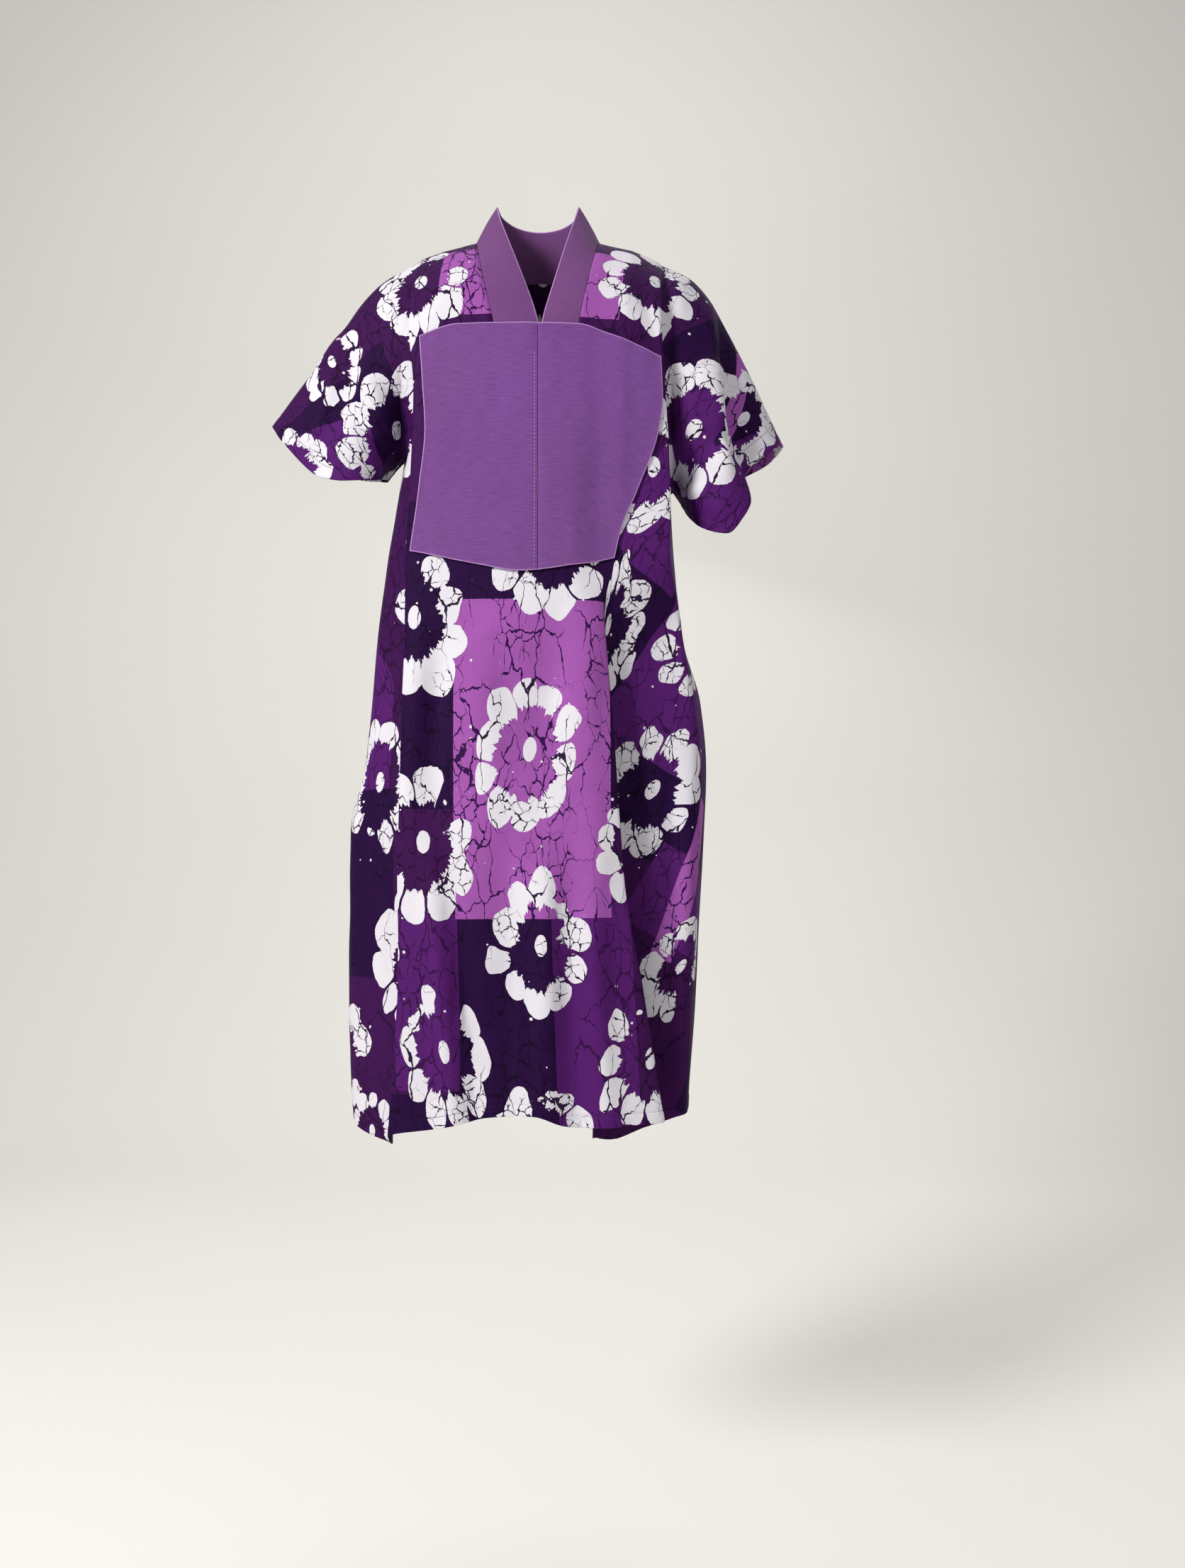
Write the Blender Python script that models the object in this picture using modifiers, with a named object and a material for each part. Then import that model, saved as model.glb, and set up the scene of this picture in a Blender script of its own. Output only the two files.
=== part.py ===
"""Short batik boubou: a knee-length robe in the worn, hollow form.

Front and back are each cut in one with their half-sleeves, joined at the shoulders, sides and
underarms. A plain collar band stands round the neck and a plain bib lies on the chest.
Metres, +Z up, front towards -Y. The origin is midway between the two shoulder-neck points.
Left and right in the tables are as seen from the front: left is -X, the wearer's right side.
The two bib pieces are named by the wearer's own sides.
"""
import math

import bmesh
import bpy
import numpy as np

# ---------------------------------------------------------------- driving sizes
WALL = 0.0015           # cloth wall of front, back and collar
BIB_WALL = 0.0012
SEAM_GAP = 0.0005       # between the walls of two pieces sewn together
CORNER_PULL = 0.0006    # more at the underarm's corner, where three edges meet
NECK_PULL = 0.0004      # front and back end this far short of the neck line
COLLAR_PULL = 0.0009    # and the collar this far, where it turns up from the neck's edge
BIB_LIFT = 0.0021       # middle of the bib's wall in front of the middle of the front's
ARMHOLE_X = 0.150       # armhole line's top to centre
FRONT_SLOPE = 0.125     # height over which the front falls forward from the shoulder seam
BACK_SLOPE = 0.100
SLOPE_POWER = 1.6       # roundness of both slopes, where 2 is an ellipse
BACK_NECK_RISE = 0.016  # how far the back's middle is drawn up below the neck
NECK_RISE_TOP = 1 / 12  # the rise is full from this row and gone at the next one named
NECK_RISE_END = 0.6
FRONT_BOW = 0.14        # share of its depth that the front loses at the armhole's width
BACK_BOW = 0.20

# Height and depth of the shoulder seam from the neck point to the armhole.
SHOULDER = (
    # out     height
    (0.075,  0.000),
    (0.114, -0.009),
    (0.135, -0.017),
    (0.150, -0.025),
)

# Body rings: reach to each side seam, and depth to front and back.
RINGS = (
    # height   left   right   front   back
    ( 0.000, 0.150, 0.150, 0.112, 0.098),
    (-0.140, 0.153, 0.153, 0.120, 0.106),
    (-0.270, 0.166, 0.160, 0.125, 0.110),
    (-0.390, 0.185, 0.166, 0.126, 0.112),
    (-0.480, 0.197, 0.176, 0.126, 0.114),
    (-0.560, 0.204, 0.199, 0.126, 0.116),
    (-0.640, 0.213, 0.206, 0.127, 0.119),
    (-0.720, 0.230, 0.203, 0.128, 0.122),
    (-0.825, 0.231, 0.197, 0.129, 0.126),
    (-0.930, 0.232, 0.192, 0.130, 0.130),
    (-1.020, 0.229, 0.185, 0.131, 0.134),
    (-1.100, 0.222, 0.179, 0.132, 0.137),
)

# Long folds of the front. At each height: where the fold's edge lies, how far the cloth behind
# it runs back under it, and how deep that cloth lies behind the edge.
LEFT_FOLD = (
    # height   edge   under  behind
    ( 0.000, -0.1440, -0.0030, 0.000),
    (-0.060, -0.1440, -0.0020, 0.004),
    (-0.134, -0.1440,  0.0045, 0.013),
    (-0.221, -0.1385,  0.0080, 0.020),
    (-0.414, -0.1470,  0.0070, 0.018),
    (-0.583, -0.1490,  0.0050, 0.016),
    (-0.727, -0.1535,  0.0040, 0.014),
    (-0.903, -0.1570,  0.0030, 0.013),
    (-1.064, -0.1670,  0.0020, 0.013),
)
RIGHT_UPPER_FOLD = (
    # height   edge   under  behind
    ( 0.000,  0.1440, -0.0030, 0.000),
    (-0.060,  0.1445, -0.0020, 0.004),
    (-0.138,  0.1454,  0.0045, 0.013),
    (-0.264,  0.1518,  0.0080, 0.019),
    (-0.340,  0.1550,  0.0050, 0.016),
    (-0.406,  0.1540, -0.0030, 0.012),
    (-0.480,  0.1560, -0.0110, 0.018),
    (-0.640,  0.1720, -0.0180, 0.030),
    (-0.903,  0.1680, -0.0140, 0.032),
    (-1.100,  0.1640, -0.0100, 0.030),
)
RIGHT_LOWER_FOLD = (
    # height   edge   under  behind
    ( 0.000,  0.0980, -0.0160, 0.000),
    (-0.140,  0.0800, -0.0200, 0.000),
    (-0.414,  0.0760, -0.0200, 0.001),
    (-0.480,  0.0790, -0.0010, 0.010),
    (-0.580,  0.0876,  0.0120, 0.022),
    (-0.783,  0.1029,  0.0330, 0.031),
    (-0.894,  0.1221,  0.0520, 0.035),
    (-1.048,  0.1470,  0.0800, 0.040),
)

HAIRPIN_FULL = 0.025    # the low fold turns back as a full hairpin once it runs this far under
HAIRPIN_FLAT = 0.012    # sideways reach of its turn where it is flat, and where it is full
HAIRPIN_OUT = 0.006
HAIRPIN_BACK = 0.011    # depth of the full turn
HAIRPIN_LEAN = 0.2      # share of the way to the side that a flat turn leans

ROUND_TOP_Z = -0.40     # from here the right fold's upper line turns into the round of the side
ROUND_HEIGHT = 0.10     # within this height
ROUND_EDGE = 0.34       # and its depth falls by these shares, at the edge and behind it
ROUND_BEHIND = 0.20

# The cloth beside a side seam changes from the chest's shape to the skirt's near the underarm.
SKIRT_FROM_ROW = 0.80
SKIRT_ROWS = 0.35
FRONT_SIDE_IN = 0.010   # the front's side point lies this far inside its seam
FRONT_SIDE_DEPTH = 0.50
BACK_SIDE_REACH = 0.95  # the back's, as a share of its seam's reach
BACK_SIDE_DEPTH = 0.58

# Where the back's named points lie at chest height, and how they spread in the skirt.
BACK_PLACES = (
    # name         x
    ("under_left", -0.128),
    ("edge_left", -0.104),
    ("edge_low", 0.086),
    ("under_low", 0.104),
    ("turn_low", 0.109),
    ("edge_right", 0.128),
)
BACK_SIDE_X = 0.128
BACK_SIDE_BOW = 0.10    # share of its depth that the back loses more by that width
SPREAD_TOP_Z = -0.28
SPREAD_HEIGHT = 0.5
SPREAD_SHARE = 0.9

# Soft folds: a ridge stands out from the panel by its height, a trough has a negative height.
SOFT_RISE = 1.6         # full height is reached after one over this share of a fold's length
SLEEVE_RISE = 1.3
SLEEVE_SEAM_EASE = 0.10
FRONT_SOFT = (
    # top_z  low_z   top_x   low_x   width  height
    (-0.180, -0.450,  0.078,  0.077, 0.016, -0.0060),
    (-0.720, -1.100, -0.118, -0.066, 0.020,  0.0090),
    (-0.760, -1.100, -0.084, -0.034, 0.022, -0.0060),
    (-0.560, -1.100,  0.020,  0.030, 0.034,  0.0060),
    (-0.620, -1.100,  0.070,  0.094, 0.022, -0.0060),
)
BACK_SOFT = (
    # top_z  low_z   top_x   low_x   width  height
    (-0.120, -1.120, -0.108, -0.150, 0.026,  0.0150),
    (-0.160, -1.120, -0.070, -0.096, 0.024, -0.0180),
    (-0.200, -1.120, -0.024, -0.036, 0.028,  0.0150),
    (-0.260, -1.120,  0.022,  0.026, 0.026, -0.0150),
    (-0.160, -1.120,  0.066,  0.084, 0.028,  0.0170),
    (-0.120, -1.120,  0.108,  0.136, 0.022, -0.0150),
)

# Hem height round the front, by station, and round the back.
FRONT_HEM = (
    # station height
    (0.00, -1.043),
    (0.08, -1.065),
    (0.12, -1.077),
    (0.15, -1.080),
    (0.19, -1.070),
    (0.30, -1.058),
    (0.38, -1.045),
    (0.49, -1.042),
    (0.60, -1.056),
    (0.68, -1.052),
    (0.73, -1.078),
    (0.78, -1.080),
    (0.82, -1.064),
    (0.86, -1.053),
    (0.92, -1.050),
    (1.00, -1.048),
)
BACK_HEM = (
    # station height
    (0.00, -1.043),
    (0.14, -1.068),
    (0.50, -1.080),
    (0.86, -1.068),
    (1.00, -1.048),
)

# Stations round a panel from the wearer's right side seam (0) to the left one (1).
STATION = {
    "seam_left": 0.0, "side_left": 0.08, "under_left": 0.15, "edge_left": 0.19, "neck_left": 0.38,
    "centre": 0.49, "neck_right": 0.60, "edge_low": 0.68, "under_low": 0.73, "turn_low": 0.755,
    "edge_right": 0.86, "under_right": 0.91, "seam_right": 1.0,
}
UNDERARM_LEFT_Z = -0.262
UNDERARM_RIGHT_Z = -0.300
ARMHOLE_DEPTH = 0.085   # half the armhole's depth, front to back
ARMHOLE_ROUND = 0.65    # power of its round, where 0.5 is an ellipse
UNDERARM_X = 0.166

# Sleeves: the shoulder seam from armhole to cuff, and the cuff's edge from that seam round the
# front or the back to the underarm seam.
SLEEVE_TOP_LEFT = (
    # along    x       y       z
    (0.00, -0.150,  0.000, -0.025),
    (0.18, -0.185,  0.000, -0.044),
    (0.34, -0.210,  0.000, -0.066),
    (0.56, -0.248,  0.000, -0.117),
    (0.80, -0.291,  0.000, -0.174),
    (1.00, -0.326,  0.000, -0.220),
)
SLEEVE_TOP_RIGHT = (
    # along    x       y       z
    (0.00,  0.150,  0.000, -0.025),
    (0.18,  0.181, -0.010, -0.043),
    (0.34,  0.204, -0.016, -0.068),
    (0.56,  0.235, -0.018, -0.122),
    (0.80,  0.266, -0.018, -0.182),
    (1.00,  0.294, -0.016, -0.244),
)
CUFF_LEFT_FRONT = (
    # along    x       y       z
    (0.00, -0.326,  0.000, -0.220),
    (0.08, -0.321, -0.020, -0.228),
    (0.25, -0.298, -0.044, -0.260),
    (0.45, -0.262, -0.060, -0.296),
    (0.65, -0.228, -0.066, -0.306),
    (0.85, -0.194, -0.050, -0.300),
    (1.00, -0.184,  0.000, -0.284),
)
CUFF_LEFT_BACK = (
    # along    x       y       z
    (0.00, -0.326,  0.000, -0.220),
    (0.08, -0.322,  0.020, -0.228),
    (0.25, -0.301,  0.044, -0.240),
    (0.45, -0.269,  0.060, -0.255),
    (0.65, -0.233,  0.066, -0.264),
    (0.85, -0.196,  0.050, -0.272),
    (1.00, -0.184,  0.000, -0.284),
)
CUFF_RIGHT_FRONT = (
    # along    x       y       z
    (0.00,  0.294, -0.016, -0.244),
    (0.14,  0.280, -0.038, -0.262),
    (0.26,  0.254, -0.056, -0.289),
    (0.38,  0.252, -0.076, -0.330),
    (0.50,  0.239, -0.083, -0.357),
    (0.64,  0.221, -0.080, -0.374),
    (0.84,  0.190, -0.058, -0.356),
    (1.00,  0.180,  0.000, -0.325),
)
CUFF_RIGHT_BACK = (
    # along    x       y       z
    (0.00,  0.294, -0.016, -0.244),
    (0.08,  0.300,  0.006, -0.244),
    (0.25,  0.288,  0.040, -0.252),
    (0.45,  0.262,  0.062, -0.264),
    (0.65,  0.228,  0.068, -0.284),
    (0.85,  0.192,  0.050, -0.306),
    (1.00,  0.180,  0.000, -0.325),
)

# Soft folds of the half-sleeves, running out to the cuff; along and round are shares of the
# way from armhole to cuff and from shoulder seam to underarm seam.
SLEEVE_SOFT = (
    # hand side  start  round_start round_cuff width height
    ( 1,  -1,    0.35,  0.08,       0.27,      0.09, -0.0110),
    ( 1,  -1,    0.20,  0.42,       0.62,      0.12,  0.0050),
    (-1,  -1,    0.30,  0.30,       0.42,      0.10, -0.0070),
    ( 1,   1,    0.25,  0.40,       0.45,      0.12, -0.0110),
    (-1,   1,    0.25,  0.34,       0.50,      0.12, -0.0110),
)

# Neck opening of each panel, by height below the shoulder seam, and the collar's top edge.
FRONT_NECK = (
    # height  left    right
    ( 0.000, -0.075, 0.075),
    (-0.070, -0.062, 0.064),
    (-0.165, -0.045, 0.048),
    (-0.300, -0.046, 0.040),
    (-1.100, -0.050, 0.050),
)
BACK_NECK = (
    # height  left    right
    ( 0.000, -0.075, 0.075),
    (-0.010, -0.068, 0.068),
    (-0.028, -0.052, 0.052),
    (-0.300, -0.046, 0.046),
    (-1.100, -0.056, 0.050),
)
COLLAR_TOP = (
    # from_z    x      y       z        on the left half; the right half mirrors it
    (-0.163, 0.0000, -0.1210, -0.160),
    (-0.143, 0.0000, -0.1200, -0.146),
    (-0.104, 0.0125, -0.1090, -0.102),
    (-0.070, 0.0245, -0.0930, -0.060),
    (-0.035, 0.0375, -0.0660, -0.013),
    (-0.012, 0.0450, -0.0400,  0.018),
    ( 0.000, 0.0500, -0.0160,  0.046),
)
COLLAR_CENTRE_X = 0.0065    # the ends meet this far to the wearer's left of the middle
COLLAR_RISE = 0.190         # and that shift is gone this far above the V's point
COLLAR_HALF_GAP = 0.0004    # half the gap between the two ends
COLLAR_END_GAP = 0.0010     # the ends stop this far above the front's edge
COLLAR_SHOULDER = (0.050, 0.014, 0.052)     # x, y and z of the top edge over the shoulder seam
COLLAR_BACK_Y = 0.056
COLLAR_BACK_Z = 0.046
COLLAR_ACROSS = (0.0, 0.33, 0.67, 1.0)

# Bib: its four edges as seen from the front.
BIB_TOP = (
    # x       z
    (-0.131, -0.156),
    (-0.085, -0.144),
    ( 0.050, -0.145),
    ( 0.081, -0.154),
    ( 0.144, -0.178),
)
BIB_BOTTOM = (
    # x       z
    (-0.141, -0.402),
    (-0.060, -0.420),
    (-0.016, -0.427),
    ( 0.050, -0.419),
    ( 0.091, -0.410),
)
BIB_LEFT = (
    # x       z
    (-0.131, -0.156),
    (-0.127, -0.210),
    (-0.124, -0.262),
    (-0.131, -0.330),
    (-0.141, -0.402),
)
BIB_RIGHT = (
    # x       z
    ( 0.144, -0.178),
    ( 0.1455, -0.225),
    ( 0.141, -0.264),
    ( 0.117, -0.332),
    ( 0.099, -0.375),
    ( 0.091, -0.410),
)
BIB_SEAM_X = 0.0040     # the bib's two halves meet on this line

# Rows from the shoulder (0) to the underarm (1), as shares of that height, and from there down.
UPPER_ROWS = (0.0, 0.014, 0.036, 0.068, 0.110, 0.180, 0.270, 0.370, 0.480, 0.590, 0.720, 0.850,
              0.940, 1.0)
FRONT_NECK_ROW = 9
BACK_NECK_ROW = 4
LOWER_ROWS = 16
SLEEVE_COLUMNS = 6
LEAST_SLANT = 0.3       # a seam's pull is no longer than at this slant of its edge
FRONT_COLUMNS = (
    # from    to    count
    (0.00, 0.12, 3),
    (0.12, 0.22, 7),
    (0.22, 0.38, 3),
    (0.38, 0.60, 6),
    (0.60, 0.66, 2),
    (0.66, 0.76, 9),
    (0.76, 0.83, 2),
    (0.83, 0.94, 7),
    (0.94, 1.00, 2),
)
BACK_COLUMNS = (
    # from    to    count
    (0.00, 0.12, 3),
    (0.12, 0.38, 6),
    (0.38, 0.60, 6),
    (0.60, 0.88, 6),
    (0.88, 1.00, 3),
)
BIB_COLUMNS = 9
BIB_ROWS = 12

MATERIALS = {
    # name:      red    green  blue   roughness
    "batik":    (0.060, 0.014, 0.110, 0.80),
    "orchid":   (0.225, 0.080, 0.310, 0.85),
}


# ---------------------------------------------------------------- curves
def smooth_through(knots, values, at):
    """A cubic curve through the values at their knots that never swings past them."""
    knots = np.asarray(knots, float)
    values = np.asarray(values, float)
    at = np.clip(at, knots[0], knots[-1])
    flat = values.reshape(len(knots), -1)
    step = np.diff(knots)[:, None]
    slope = np.diff(flat, axis=0) / step
    before, after = slope[:-1], slope[1:]
    weight_before, weight_after = step[:-1] + 2 * step[1:], 2 * step[:-1] + step[1:]
    same_way = before * after > 0
    harmonic = (weight_before / np.where(same_way, before, 1)
                + weight_after / np.where(same_way, after, 1))
    mean = (weight_before + weight_after) / np.where(same_way, harmonic, 1)
    tangent = np.concatenate([slope[:1], np.where(same_way, mean, 0), slope[-1:]])
    i = int(np.clip(np.searchsorted(knots, at, side="right") - 1, 0, len(step) - 1))
    h = step[i, 0]
    t = (at - knots[i]) / h
    out = ((2 * t**3 - 3 * t**2 + 1) * flat[i] + (t**3 - 2 * t**2 + t) * h * tangent[i]
           + (3 * t**2 - 2 * t**3) * flat[i + 1] + (t**3 - t**2) * h * tangent[i + 1])
    return out if values.ndim > 1 else float(out[0])


def by_height(table, z):
    """A row of a table whose first column is a height that falls from row to row."""
    rows = np.asarray(table, float)[::-1]
    return smooth_through(rows[:, 0], rows[:, 1:], z)


def by_station(table, along):
    rows = np.asarray(table, float)
    return smooth_through(rows[:, 0], rows[:, 1:], along)


def ease(x):
    x = min(max(x, 0.0), 1.0)
    return x * x * (3 - 2 * x)


def shoulder_height(x):
    return float(np.interp(abs(x), [row[0] for row in SHOULDER], [row[1] for row in SHOULDER]))


# ---------------------------------------------------------------- body panels
def soft_folds(table, x, z):
    """How far the panel's soft folds stand out at a place."""
    total = 0.0
    for top_z, low_z, top_x, low_x, width, height in table:
        along = (top_z - z) / (top_z - low_z)
        if along <= 0:
            continue
        middle = top_x + (low_x - top_x) * min(along, 1.0)
        total += height * ease(along * SOFT_RISE) * math.exp(-(((x - middle) / width) ** 2))
    return total


def armhole_point(side, front, tau):
    """The line where a half-sleeve leaves the body; side and front are -1 or +1."""
    low_z = UNDERARM_LEFT_Z if side < 0 else UNDERARM_RIGHT_Z
    top_z = SHOULDER[-1][1]
    x = side * (ARMHOLE_X + (UNDERARM_X - ARMHOLE_X) * tau**2)
    z = top_z + (low_z - top_z) * tau
    y = front * ARMHOLE_DEPTH * (1 - (2 * tau - 1) ** 2) ** ARMHOLE_ROUND
    return np.array([x, y, z])


def slope_share(x, row, low_z, slope_height):
    """Share of the panel's full depth that is reached at this row below the shoulder seam."""
    drop = min(row, 1.0) * (shoulder_height(x) - low_z)
    share = min(drop / slope_height, 1.0)
    return (1 - (1 - share) ** SLOPE_POWER) ** (1 / SLOPE_POWER)


def add_seams(points, side, row, left, right):
    """Both ends of a ring: on the armhole lines above the underarm, on the side seams below it."""
    if row < 1:
        points["seam_left"] = tuple(armhole_point(-1, side, row)[:2])
        points["seam_right"] = tuple(armhole_point(1, side, row)[:2])
    else:
        points["seam_left"] = (-left, 0.0)
        points["seam_right"] = (right, 0.0)


def front_features(z, row, low_z):
    """Named points of the front's ring at one height, as (x, y)."""
    left, right, depth, _ = by_height(RINGS, z)

    def on_front(x, behind=0.0):
        full = depth * (1 - FRONT_BOW * (x / ARMHOLE_X) ** 2) + soft_folds(FRONT_SOFT, x, z)
        return (behind - full) * slope_share(x, row, low_z, FRONT_SLOPE)

    points = {}
    for name, under, table, side in (("edge_left", "under_left", LEFT_FOLD, 1),
                                     ("edge_right", "under_right", RIGHT_UPPER_FOLD, -1),
                                     ("edge_low", "under_low", RIGHT_LOWER_FOLD, -1)):
        edge, overlap, behind = by_height(table, z)
        points[name] = (edge, on_front(edge))
        points[under] = (edge + side * overlap, on_front(edge, behind))
    neck_left, neck_right = by_height(FRONT_NECK, z)
    points["neck_left"] = (neck_left, on_front(neck_left))
    points["neck_right"] = (neck_right, on_front(neck_right))
    middle = (neck_left + neck_right) / 2
    points["centre"] = (middle, on_front(middle))
    # Below the fold on the right the upper edge's line turns into the round of the side.
    turn = ease((ROUND_TOP_Z - z) / ROUND_HEIGHT)
    edge_x, edge_y = points["edge_right"]
    points["edge_right"] = (edge_x, edge_y * (1 - ROUND_EDGE * turn))
    under_x, under_y = points["under_right"]
    points["under_right"] = (under_x, under_y * (1 - ROUND_BEHIND * turn))
    # Where the low fold runs back far under its edge it turns round again, as a hairpin.
    under_x, under_y = points["under_low"]
    hairpin = ease((points["edge_low"][0] - under_x) / HAIRPIN_FULL)
    side_y = points["edge_right"][1]
    lean = (1 - hairpin) * HAIRPIN_LEAN * (side_y - under_y)
    points["turn_low"] = (under_x + HAIRPIN_FLAT + (HAIRPIN_OUT - HAIRPIN_FLAT) * hairpin,
                          under_y + lean + hairpin * HAIRPIN_BACK)
    add_seams(points, -1, row, left, right)
    fall = ease((row - SKIRT_FROM_ROW) / SKIRT_ROWS)
    seam_x, seam_y = points["seam_left"]
    under_x, under_y = points["under_left"]
    chest = ((seam_x + under_x) / 2, (seam_y + under_y) / 2)
    skirt = (seam_x + FRONT_SIDE_IN, under_y * FRONT_SIDE_DEPTH)
    points["side_left"] = tuple((1 - fall) * np.array(chest) + fall * np.array(skirt))
    return points


def back_features(z, row, low_z):
    """Named points of the back's ring at one height, as (x, y)."""
    left, right, _, depth = by_height(RINGS, z)

    def on_back(x):
        full = depth * (1 - BACK_BOW * (x / ARMHOLE_X) ** 2) + soft_folds(BACK_SOFT, x, z)
        return full * slope_share(x, row, low_z, BACK_SLOPE)

    neck_left, neck_right = by_height(BACK_NECK, z)
    points = {"neck_left": (neck_left, on_back(neck_left)), "neck_right": (neck_right, on_back(neck_right))}
    middle = (neck_left + neck_right) / 2
    points["centre"] = (middle, on_back(middle))
    widen = ease((SPREAD_TOP_Z - z) / SPREAD_HEIGHT)
    for name, place in BACK_PLACES:
        reach = left if place < 0 else right
        x = place * (1 + widen * (reach / ARMHOLE_X - 1.0) * SPREAD_SHARE)
        points[name] = (x, on_back(x) * (1 - BACK_SIDE_BOW * abs(place) / BACK_SIDE_X))
    add_seams(points, 1, row, left, right)
    fall = ease((row - SKIRT_FROM_ROW) / SKIRT_ROWS)
    for seam, inner, name in (("seam_left", "under_left", "side_left"),
                              ("seam_right", "edge_right", "under_right")):
        seam_x, seam_y = points[seam]
        in_x, in_y = points[inner]
        chest = np.array([(seam_x + in_x) / 2, (seam_y + in_y) / 2])
        skirt = np.array([seam_x * BACK_SIDE_REACH, in_y * BACK_SIDE_DEPTH])
        points[name] = tuple((1 - fall) * chest + fall * skirt)
    return points


def ring_point(features, station):
    names = sorted(STATION, key=STATION.get)
    knots = [STATION[name] for name in names]
    return smooth_through(knots, [features[name] for name in names], station)


def body_point(side, station, row):
    """A panel's surface. side is -1 for the front and +1 for the back; row is 0 on the shoulder
    seam, 1 at the underarm and 2 at the hem."""
    low_z = UNDERARM_LEFT_Z + (UNDERARM_RIGHT_Z - UNDERARM_LEFT_Z) * station
    features = front_features if side < 0 else back_features
    hem = by_station(FRONT_HEM if side < 0 else BACK_HEM, station)[0]
    if row >= 1:
        z = low_z + (hem - low_z) * (row - 1)
        x, y = ring_point(features(z, row, low_z), station)
        return np.array([x, y, z])
    # Above the underarm each column starts on the shoulder seam.
    x, y = ring_point(features(low_z * row, row, low_z), station)
    top = shoulder_height(x)
    z = top + (low_z - top) * row
    x, y = ring_point(features(z, row, low_z), station)
    if side > 0:
        across = 1 - min(abs(x) / ARMHOLE_X, 1.0)
        z += BACK_NECK_RISE * across * ease(row / NECK_RISE_TOP) * (1 - ease(row / NECK_RISE_END))
    return np.array([x, y, z])


def sleeve_folds(hand, side, along, tau):
    """How far a half-sleeve's soft folds stand out at a place; nothing at its two seams."""
    total = 0.0
    for fold_hand, fold_side, start, round_start, round_cuff, width, height in SLEEVE_SOFT:
        share = (along - start) / (1 - start)
        if (fold_hand, fold_side) != (hand, side) or share <= 0:
            continue
        middle = round_start + (round_cuff - round_start) * share
        total += height * ease(share * SLEEVE_RISE) * math.exp(-(((tau - middle) / width) ** 2))
    return total * ease(tau / SLEEVE_SEAM_EASE) * ease((1 - tau) / SLEEVE_SEAM_EASE)


def sleeve_point(hand, side, along, tau):
    """A half-sleeve's surface from the armhole (0) to the cuff (1), patched between its edges."""
    top_table = SLEEVE_TOP_LEFT if hand < 0 else SLEEVE_TOP_RIGHT
    cuff_table = {(-1, -1): CUFF_LEFT_FRONT, (-1, 1): CUFF_LEFT_BACK,
                  (1, -1): CUFF_RIGHT_FRONT, (1, 1): CUFF_RIGHT_BACK}[hand, side]
    start = armhole_point(hand, side, tau)
    cuff = by_station(cuff_table, tau)
    straight = start + (cuff - start) * along
    first, last = armhole_point(hand, side, 0.0), by_station(cuff_table, 0.0)
    top_bend = by_station(top_table, along) - (first + (last - first) * along)
    out = np.array([hand, 2 * side, 0.5]) / math.sqrt(5.25)
    return straight + top_bend * (1 - tau) + out * sleeve_folds(hand, side, along, tau)


def spread(columns):
    """Stations from (from, to, count) rows."""
    places = [columns[0][0]]
    for low, high, count in columns:
        places += [low + (high - low) * (i + 1) / count for i in range(count)]
    return places


def pull_from_neck(points, key, inner):
    """Moves a point of the neck's edge towards its neighbour inside the panel."""
    if key in points and inner in points:
        way = points[inner] - points[key]
        points[key] = points[key] + way / np.linalg.norm(way) * NECK_PULL


def pull_from_seam(points, key, inner):
    """Moves a point on a seam into its panel until half the seam's gap lies outside the wall.

    Shoulder, side and underarm seams lie across Y, and the wall's end stands square to the panel.
    """
    if key in points and inner in points:
        way = points[inner] - points[key]
        way /= np.linalg.norm(way)
        slant = math.sqrt(1 - way[1] ** 2)
        reach = SEAM_GAP / 2 + WALL / 2 * slant
        points[key] = points[key] + way * reach / max(abs(way[1]), LEAST_SLANT)


def panel_points(side, columns, neck_row):
    """Every point of one panel, keyed by (row, column), with sleeves at the columns past the body."""
    stations = spread(columns)
    last = len(stations) - 1
    neck = [stations.index(next(s for s in stations if abs(s - STATION[name]) < 1e-6))
            for name in ("neck_left", "neck_right")]
    rows = list(UPPER_ROWS) + [1 + (i + 1) / LOWER_ROWS for i in range(LOWER_ROWS)]
    underarm = len(UPPER_ROWS) - 1
    points = {}
    for r, row in enumerate(rows):
        for c, station in enumerate(stations):
            if r < neck_row and neck[0] < c < neck[1]:
                continue
            points[r, c] = body_point(side, station, row)
        if r > underarm:
            continue
        for i in range(1, SLEEVE_COLUMNS + 1):
            along = i / SLEEVE_COLUMNS
            points[r, -i] = sleeve_point(-1, side, along, row)
            points[r, last + i] = sleeve_point(1, side, along, row)
    for r in range(neck_row + 1):
        pull_from_neck(points, (r, neck[0]), (r, neck[0] - 1))
        pull_from_neck(points, (r, neck[1]), (r, neck[1] + 1))
    for c in range(neck[0] + 1, neck[1]):
        pull_from_neck(points, (neck_row, c), (neck_row + 1, c))
    for c in range(-SLEEVE_COLUMNS, last + SLEEVE_COLUMNS + 1):
        pull_from_seam(points, (0, c), (1, c))
        if not 0 <= c <= last:
            pull_from_seam(points, (underarm, c), (underarm - 1, c))
    for r in range(underarm, len(rows)):
        pull_from_seam(points, (r, 0), (r, 1))
        pull_from_seam(points, (r, last), (r, last - 1))
    for corner in ((underarm, 0), (underarm, last)):
        points[corner] = points[corner] + np.array([0, side * CORNER_PULL, 0])
    return points


# ---------------------------------------------------------------- making objects
def material(name):
    red, green, blue, roughness = MATERIALS[name]
    made = bpy.data.materials.new(name)
    made.use_nodes = True
    shader = made.node_tree.nodes["Principled BSDF"]
    shader.inputs["Base Color"].default_value = (red, green, blue, 1)
    shader.inputs["Roughness"].default_value = roughness
    shader.inputs["Metallic"].default_value = 0
    return made


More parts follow.
